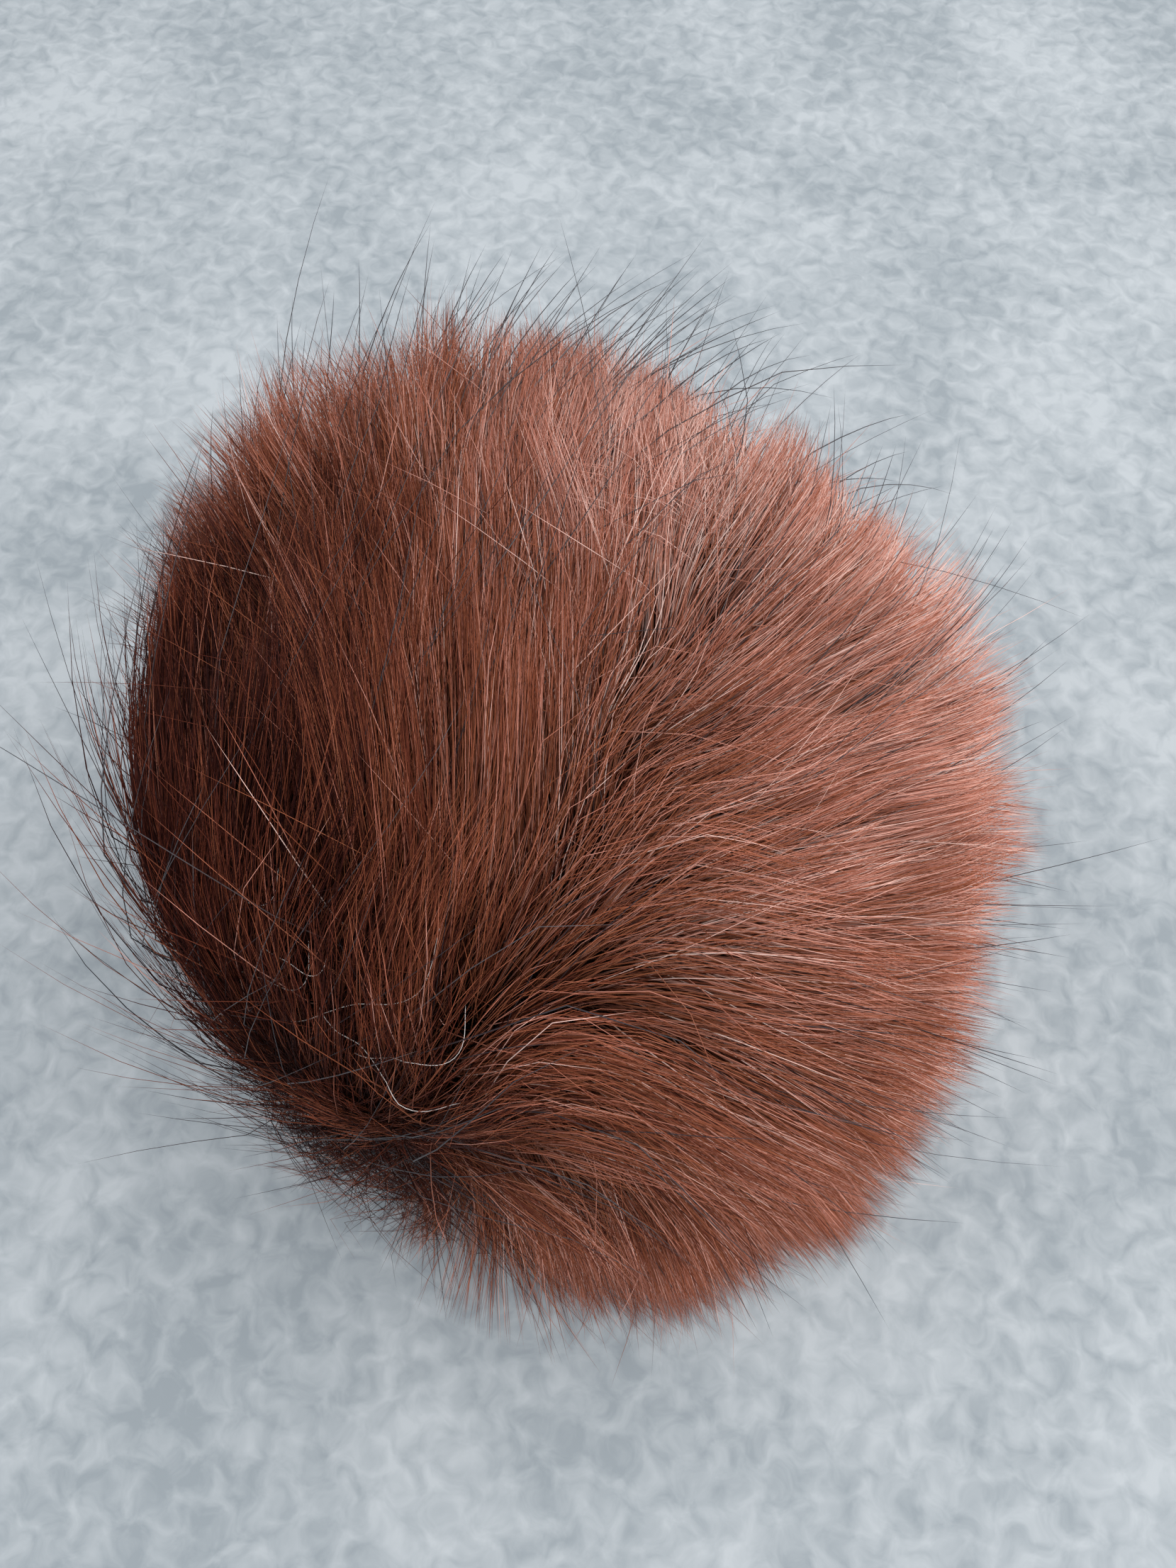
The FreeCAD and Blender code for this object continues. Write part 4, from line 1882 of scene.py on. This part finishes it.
@dataclass
class Hem:
    """Folded hem tape with its elastic, the elastic's join and the pleats over it."""

    form: Form
    stitcher: Stitcher
    tape: bpy.types.Material
    elastic: bpy.types.Material
    tape_thickness: float = 0.8 * MM
    gathers: int = 90
    ripple: float = 0.16 * MM
    front_ripple: float = 0.20 * MM
    pleats: int = 5
    pleat_pitch: float = 4.0 * MM
    pleat_half: float = 0.9 * MM
    pleat_fan: float = math.radians(9.0)
    pleat_foot: float = 1.0 * MM
    pleat_under: float = 0.4 * MM
    stitch_pitch: float = 1.8 * MM
    overlock_share: float = 0.88
    overlock_slant: float = 1.3 * MM
    row_share: float = 0.68

    def __post_init__(self) -> None:
        """Reads from the frame how far out the elastic's outer face lies."""
        low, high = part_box("hem_elastic")
        self.band_low = low[2]
        self.band_high = high[2]
        reach = high[0] - self.form.half_x + low[2] * math.tan(self.form.draft)
        self.band_out = reach * math.cos(self.form.draft)

    def build(self) -> List[bpy.types.Object]:
        """Makes the hem and logs the size that its tape is cut to.

        Returns:
            The tape and all that goes with it.
        """
        channel = self.make_channel()
        band = self.make_band()
        join = self.make_join()
        pleats = [self.make_pleat(number) for number in range(self.pleats)]
        rows = self.make_stitches()
        width = 2.0 * (self.form.hem_out - self.form.lining_in + self.form.hem_height)
        length = line_length(self.form.wall_ring(self.form.hem_out / 2, 0.0))
        goes_with = [band, join, *pleats, *rows]
        log_cut(channel, (width, length))
        return [channel, *goes_with]

    def gathered(self, ring: np.ndarray, growth: float) -> np.ndarray:
        """One ring of the tape, pushed in and out by the elastic's gathers.

        Args:
            ring: one ring of the tape.
            growth: how far out from the foam, in metres.

        Returns:
            The ring, rippled.
        """
        turn = np.arctan2(ring[:, 1], ring[:, 0])
        wander = 1.6 * noise_at(ring, 14.0 * MM, 5.2)
        front = smooth_step(-ring[:, 1] / self.form.half_y)
        depth = self.ripple + self.front_ripple * front
        outer = 0.3 + 0.7 * (growth - self.form.lining_in) / self.form.hem_out
        level = self.form.normal(ring) * np.array([1.0, 1.0, 0.0])
        return ring + level * (depth * outer * np.sin(self.gathers * turn + wander))[:, None]

    def sweep(self, profile: np.ndarray) -> List[np.ndarray]:
        """Gathered rings through a profile of growths and heights."""
        return [self.gathered(self.form.wall_ring(g, z), g) for g, z in profile]

    def make_channel(self) -> bpy.types.Object:
        """Folded tape: an outer skin, and an inner one round the room for the elastic.

        Returns:
            The tape.
        """
        low, high = self.form.lining_in, self.form.hem_out
        wall = self.tape_thickness
        outer = box_loop((low, 0.0), (high, self.form.hem_height), 1.5 * MM)
        inner = box_loop((low + wall, wall), (high - wall, self.form.hem_height - wall), 0.9 * MM)
        rings = self.sweep(outer) + self.sweep(inner)
        around = len(rings[0])
        first = tube_faces(len(outer), around, True)
        shift = len(outer) * around
        second = [[shift + i for i in face] for face in tube_faces(len(inner), around, True)]
        mesh = mesh_from("hem_tape_fold", np.concatenate(rings), first + second)
        return fitted(add_object("hem_tape_fold", mesh, self.tape), Body.COVER, ["hem_channel"])

    def make_band(self) -> bpy.types.Object:
        """Flat elastic in the channel.

        Returns:
            The elastic.
        """
        inside = self.form.lining_in + self.tape_thickness
        profile = box_loop((inside, self.band_low), (self.band_out, self.band_high), 0.3 * MM)
        rings = [self.form.wall_ring(g, z) for g, z in profile]
        made = swept("hem_elastic_band", rings, True, self.elastic)
        return fitted(made, Body.COVER, ["hem_elastic"])

    def make_join(self) -> bpy.types.Object:
        """Overlapped end of the elastic, in front.

        Returns:
            The overlap.
        """
        low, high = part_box("elastic_join")
        outside = 2.0 * self.band_out - self.form.lining_in - self.tape_thickness
        profile = box_loop((self.band_out, low[2]), (outside, high[2]), 0.3 * MM)
        lines = []
        for growth, z in profile:
            ring = self.form.wall_ring(growth, z)
            front = ring[(ring[:, 1] < 0.0) & (np.abs(ring[:, 0]) < high[0] + 0.8 * MM)]
            order = front[np.argsort(front[:, 0])]
            spans = np.linspace(low[0], high[0], 30)
            there = [np.interp(spans, order[:, 0], order[:, axis]) for axis in range(3)]
            lines.append(np.column_stack(there))
        rings = list(np.stack(lines, axis=1))
        made = swept("elastic_lap", rings, False, self.elastic)
        return fitted(made, Body.COVER, ["elastic_join"])

    def on_front(self, x: np.ndarray, z: np.ndarray, growth: float) -> np.ndarray:
        """Places on the front of the hem's wall.

        Args:
            x: distances to the right.
            z: heights.
            growth: how far out from the foam, in metres.

        Returns:
            Places, one row each.
        """
        reach = np.array([self.form.half_x, self.form.half_y]) - self.form.corner_radius
        grown = self.form.corner_radius + growth / math.cos(self.form.draft)
        radius = grown - z * math.tan(self.form.draft)
        past = np.maximum(np.abs(x) - reach[0], 0.0)
        return np.column_stack([x, -reach[1] - np.sqrt(np.maximum(radius**2 - past**2, 0.0)), z])

    def make_pleat(self, number: int) -> bpy.types.Object:
        """One rounded pleat of hem tape, fanned out from the middle of the gather.

        Args:
            number: its number, from the left.

        Returns:
            The pleat.
        """
        place = number - (self.pleats - 1) / 2
        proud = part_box("hem_channel")[0][1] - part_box("gather_tuck")[0][1]
        z = np.linspace(self.pleat_foot, self.form.hem_height, 14)
        x = self.pleat_pitch * place + z * math.tan(self.pleat_fan * place)
        spine = self.on_front(x, z, self.form.hem_out)
        outward = self.form.normal(spine)
        swell = np.sqrt(np.maximum(1.0 - np.linspace(-0.96, 0.96, len(z)) ** 6, 0.0))
        turns = np.linspace(0.0, 2.0 * math.pi, 16, endpoint=False)
        rings = []
        for spot, way, full in zip(spine, outward, swell):
            side = unit(np.cross(UP, way))
            lift = np.where(np.sin(turns) > 0.0, proud, self.pleat_under) * np.sin(turns) * full
            half = self.pleat_half * np.cos(turns) * full
            rings.append(spot + np.outer(half, side) + np.outer(lift, way))
        made = swept(f"gather_pleat_{number + 1}", rings, False, self.tape)
        return fitted(made, Body.COVER, ["gather_tuck"])

    def make_stitches(self) -> List[bpy.types.Object]:
        """Overlocked upper edge of the tape, and a straight row under it.

        Returns:
            The two rows.
        """
        kinds = (
            ("overlock_stitches", self.overlock_share, self.overlock_slant),
            ("hem_stitches", self.row_share, 0.0),
        )
        growth = self.form.hem_out
        rows = []
        for name, share, slant in kinds:
            level = self.form.wall_ring(growth, share * self.form.hem_height)
            ring = self.gathered(level, growth)
            line = np.vstack([ring, ring[:1]])
            outward = self.form.normal(line)
            rows.append(self.stitcher.row(name, line, outward, "hem_tape", self.stitch_pitch, slant))
        return rows


# ------------------------------------------------------------------ foam core and its cavity


@dataclass
class FoamCore:
    """Foam halves and crown pad: the frame's own solids, with soft edges and a cellular skin."""

    foam: bpy.types.Material
    cell: float = 1.0 * MM
    roughness_depth: float = 0.22 * MM
    grain_size: float = 2.2 * MM

    NODES = ("foam_front_half", "foam_rear_half", "foam_crown_pad")

    def build(self) -> List[bpy.types.Object]:
        """Makes the three foam pieces.

        Returns:
            The pieces.
        """
        grain = bpy.data.textures.new("foam_grain", "CLOUDS")
        grain.noise_scale = self.grain_size
        return [self.soften(node, grain) for node in self.NODES]

    def soften(self, node: str, grain: bpy.types.Texture) -> bpy.types.Object:
        """One foam piece, remeshed evenly, softened and roughened.

        Args:
            node: the foam's node.
            grain: noise that roughens its skin.

        Returns:
            The piece.
        """
        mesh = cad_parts[node].data.copy()
        mesh.materials.clear()
        made = add_object(node + "_cellular", mesh, self.foam)
        even = made.modifiers.new("even", "REMESH")
        even.mode = "VOXEL"
        even.voxel_size = self.cell
        soft = made.modifiers.new("soft", "SMOOTH")
        soft.factor = 0.5
        soft.iterations = 2
        rough = made.modifiers.new("rough", "DISPLACE")
        rough.texture = grain
        rough.strength = self.roughness_depth
        settled(made)
        made.data.shade_smooth()
        fitted(made, Body.CORE, [node])
        return made


@dataclass
class CavityFittings:
    """What lines the cavity and the mouth: mesh sleeve and cap, rubber grip ring and felt facing."""

    form: Form
    netting: bpy.types.Material
    rubber: bpy.types.Material
    felt: bpy.types.Material
    corner_radius: float = 10.0 * MM
    neck_wall: float = 2.0 * MM
    lip_proud: float = 1.2 * MM
    lip_thickness: float = 1.4 * MM
    rubber_edge: float = 0.35 * MM
    felt_edge: float = 0.35 * MM
    mesh_edge: float = 0.2 * MM

    def __post_init__(self) -> None:
        """Reads the cavity's size and the fittings' heights from the frame."""
        sleeve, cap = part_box("cavity_sleeve"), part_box("cavity_cap")
        self.mesh_wall = cap[1][2] - cap[0][2]
        self.slot_x = sleeve[1][0] - self.mesh_wall
        self.slot_y = sleeve[1][1] - self.mesh_wall
        self.sleeve_low, self.sleeve_high = sleeve[0][2], sleeve[1][2]
        self.cap_high = cap[1][2]
        self.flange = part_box("grip_ring")[1][0] - self.slot_x
        self.neck_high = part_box("grip_ring")[1][2]
        self.felt_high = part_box("base_facing")[1][2]

    def build(self) -> List[bpy.types.Object]:
        """Makes the four fittings."""
        return [self.make_grip(), self.make_facing(), self.make_sleeve(), self.make_cap()]

    def slot_ring(self, growth: float, z: float) -> np.ndarray:
        """Outline of the cavity grown by `growth`, at one height."""
        flat = self.form.outline(self.slot_x + growth, self.slot_y + growth, self.corner_radius + growth)
        return np.column_stack([flat, np.full(len(flat), z)])

    def make_grip(self) -> bpy.types.Object:
        """Rubber collar: flange, neck and one lip that holds the recorder.

        Returns:
            The collar.
        """
        middle = self.neck_high / 2
        half = self.lip_thickness / 2
        corners = [
            (0.0, 0.0),
            (self.flange, 0.0),
            (self.flange, self.felt_high),
            (self.neck_wall, self.felt_high),
            (self.neck_wall, self.neck_high),
            (0.0, self.neck_high),
            (0.0, middle + half),
            (-self.lip_proud, middle + half),
            (-self.lip_proud, middle - half),
            (0.0, middle - half),
        ]
        rings = [self.slot_ring(g, z) for g, z in rounded_loop(corners, self.rubber_edge)]
        made = swept("grip_collar", rings, True, self.rubber)
        return fitted(made, Body.CORE, ["grip_ring"])

    def make_facing(self) -> bpy.types.Object:
        """Felt sheet under the foam, round the grip ring's flange.

        Returns:
            The facing.
        """
        soft = self.felt_edge
        outer = [self.form.wall_ring(-soft, 0.0), self.form.wall_ring(0.0, soft)]
        outer.append(self.form.wall_ring(0.0, self.felt_high - soft))
        outer.append(self.form.wall_ring(-soft, self.felt_high))
        inner = [self.slot_ring(self.flange, z) for z in (self.felt_high, 0.0)]
        made = swept("felt_facing", outer + inner, True, self.felt)
        fitted(made, Body.CORE, ["base_facing"])
        return made

    def make_sleeve(self) -> bpy.types.Object:
        """Mesh stretched round the wall of the cavity.

        Returns:
            The sleeve.
        """
        low, high = (0.0, self.sleeve_low), (self.mesh_wall, self.sleeve_high)
        rings = [self.slot_ring(g, z) for g, z in box_loop(low, high, self.mesh_edge)]
        made = swept("netting_sleeve", rings, True, self.netting)
        fitted(made, Body.CORE, ["cavity_sleeve"])
        ring = self.slot_ring(self.mesh_wall / 2, self.sleeve_low)
        return made

    def make_cap(self) -> bpy.types.Object:
        """Mesh panel over the cavity's closed end.

        Returns:
            The cap.
        """
        rings = [self.slot_ring(self.mesh_wall, z) for z in (self.sleeve_high, self.cap_high)]
        made = swept("netting_cap", rings, False, self.netting)
        fitted(made, Body.CORE, ["cavity_cap"])
        return made


# ------------------------------------------------------------------ studio


@dataclass(frozen=True)
class Lamp:
    """One square area light, placed by its direction and distance from the body."""

    name: str
    azimuth_deg: float
    elevation_deg: float
    distance: float
    size: float
    power: float
    colour: Colour


@dataclass
class Studio:
    """Floor, a broad key from behind on the right, a weak fill, a pale sky and the camera."""

    azimuth_deg: float = 20.0
    elevation_deg: float = 66.0
    distance: float = 0.162
    lens: float = 26.0
    sensor: float = 36.0
    target: Tuple[float, float, float] = (0.005, 0.001, 0.046)
    floor_half: float = 3.0
    key: Lamp = Lamp("key", 110.0, 63.0, 1.1, 1.4, 15.0, (1.0, 0.97, 0.94))
    fill: Lamp = Lamp("fill", -60.0, 62.0, 1.3, 1.5, 6.0, (1.0, 0.98, 0.96))
    sky: Colour = (0.92, 0.95, 1.0)
    sky_strength: float = 0.55

    def build(self) -> None:
        """Makes the floor, the lights, the sky and the camera."""
        self.make_floor()
        self.make_lamp(self.key)
        self.make_lamp(self.fill)
        self.make_sky()
        self.make_camera()
        bpy.context.scene.view_settings.view_transform = "Standard"

    def make_floor(self) -> None:
        """A plain pale floor under the mouth."""
        half = self.floor_half
        corners = np.array([[-half, -half, 0], [half, -half, 0], [half, half, 0], [-half, half, 0]])
        floor = add_object("floor", mesh_from("floor", corners, [[0, 1, 2, 3]]), FloorFinish().make())

    def aim(self, holder: bpy.types.Object, azimuth_deg: float, elevation_deg: float, gap: float) -> None:
        """Stands a light or a camera off the body, and turns it to face the body.

        Args:
            holder: the light's or the camera's object.
            azimuth_deg: direction round the body; 0 is in front of it.
            elevation_deg: height above the floor, as an angle.
            gap: distance from the point aimed at.
        """
        turn = math.radians(azimuth_deg)
        rise = math.radians(elevation_deg)
        level = math.cos(rise)
        way = Vector((math.sin(turn) * level, -math.cos(turn) * level, math.sin(rise)))
        bpy.context.scene.collection.objects.link(holder)
        holder.location = Vector(self.target) + way * gap
        holder.rotation_mode = "QUATERNION"
        holder.rotation_quaternion = way.to_track_quat("Z", "Y")

    def make_lamp(self, lamp: Lamp) -> None:
        """One square area light that faces the body.

        Args:
            lamp: its place, size and colour.
        """
        light = bpy.data.lights.new(lamp.name, "AREA")
        light.size = lamp.size
        light.energy = lamp.power
        light.color = lamp.colour
        holder = bpy.data.objects.new(lamp.name, light)
        self.aim(holder, lamp.azimuth_deg, lamp.elevation_deg, lamp.distance)

    def make_sky(self) -> None:
        """Even pale light from all round."""
        world = bpy.data.worlds.new("sky")
        bpy.context.scene.world = world
        world.use_nodes = True
        sky = world.node_tree.nodes["Background"]
        sky.inputs["Color"].default_value = (*self.sky, 1.0)
        sky.inputs["Strength"].default_value = self.sky_strength

    def make_camera(self) -> None:
        """Camera above the front of the body, looking steeply down."""
        camera = bpy.data.cameras.new("camera")
        camera.lens = self.lens
        camera.sensor_width = self.sensor
        camera.clip_start = 0.005
        camera.clip_end = 20.0
        holder = bpy.data.objects.new("camera", camera)
        self.aim(holder, self.azimuth_deg, self.elevation_deg, self.distance)
        bpy.context.scene.camera = holder


def report(made: Sequence[bpy.types.Object]) -> None:
    """Logs each piece's name and number of faces."""
    for piece in made:
        LOG.info("%s: %d faces", piece.name, len(piece.data.polygons))


def main() -> None:
    """Builds the windscreen's looks and its studio."""
    logging.basicConfig(level=logging.INFO)
    form = Form()
    Studio().build()
    coat = FurCoat(
        form, Comb(form), PileGauge(), FurFinish().make(), GuardFinish().make(), StrayFinish().make()
    )
    fur = coat.build()
    stitcher = Stitcher(ThreadFinish().make())
    lining = KnitFinish("lining_knit", (0.012, 0.009, 0.008), (0.034, 0.026, 0.024), 0.8 * MM)
    backing = KnitFinish("backing_knit", (0.030, 0.010, 0.008), (0.070, 0.026, 0.018))
    binding = TapeFinish("seam_binding_tape", (0.020, 0.012, 0.010), (0.075, 0.048, 0.042))
    tape = TapeFinish("hem_tape_weave", (0.018, 0.010, 0.008), (0.065, 0.040, 0.034))
    elastic = TapeFinish("elastic_weave", (0.030, 0.024, 0.024), (0.110, 0.090, 0.090), 0.9 * MM)
    shell = CoverShell(form, stitcher, lining.make(), backing.make(), binding.make())
    fine = Form(side_steps=40, arc_steps=60)
    hem = Hem(fine, stitcher, tape.make(), elastic.make())
    fittings = CavityFittings(form, NettingFinish().make(), RubberFinish().make(), FeltFinish().make())
    for pieces in (*fur.values(), shell.build(fur), hem.build(), FoamCore(FoamFinish().make()).build()):
        report(pieces)
    report(fittings.build())


if __name__ == "__main__":
    main()
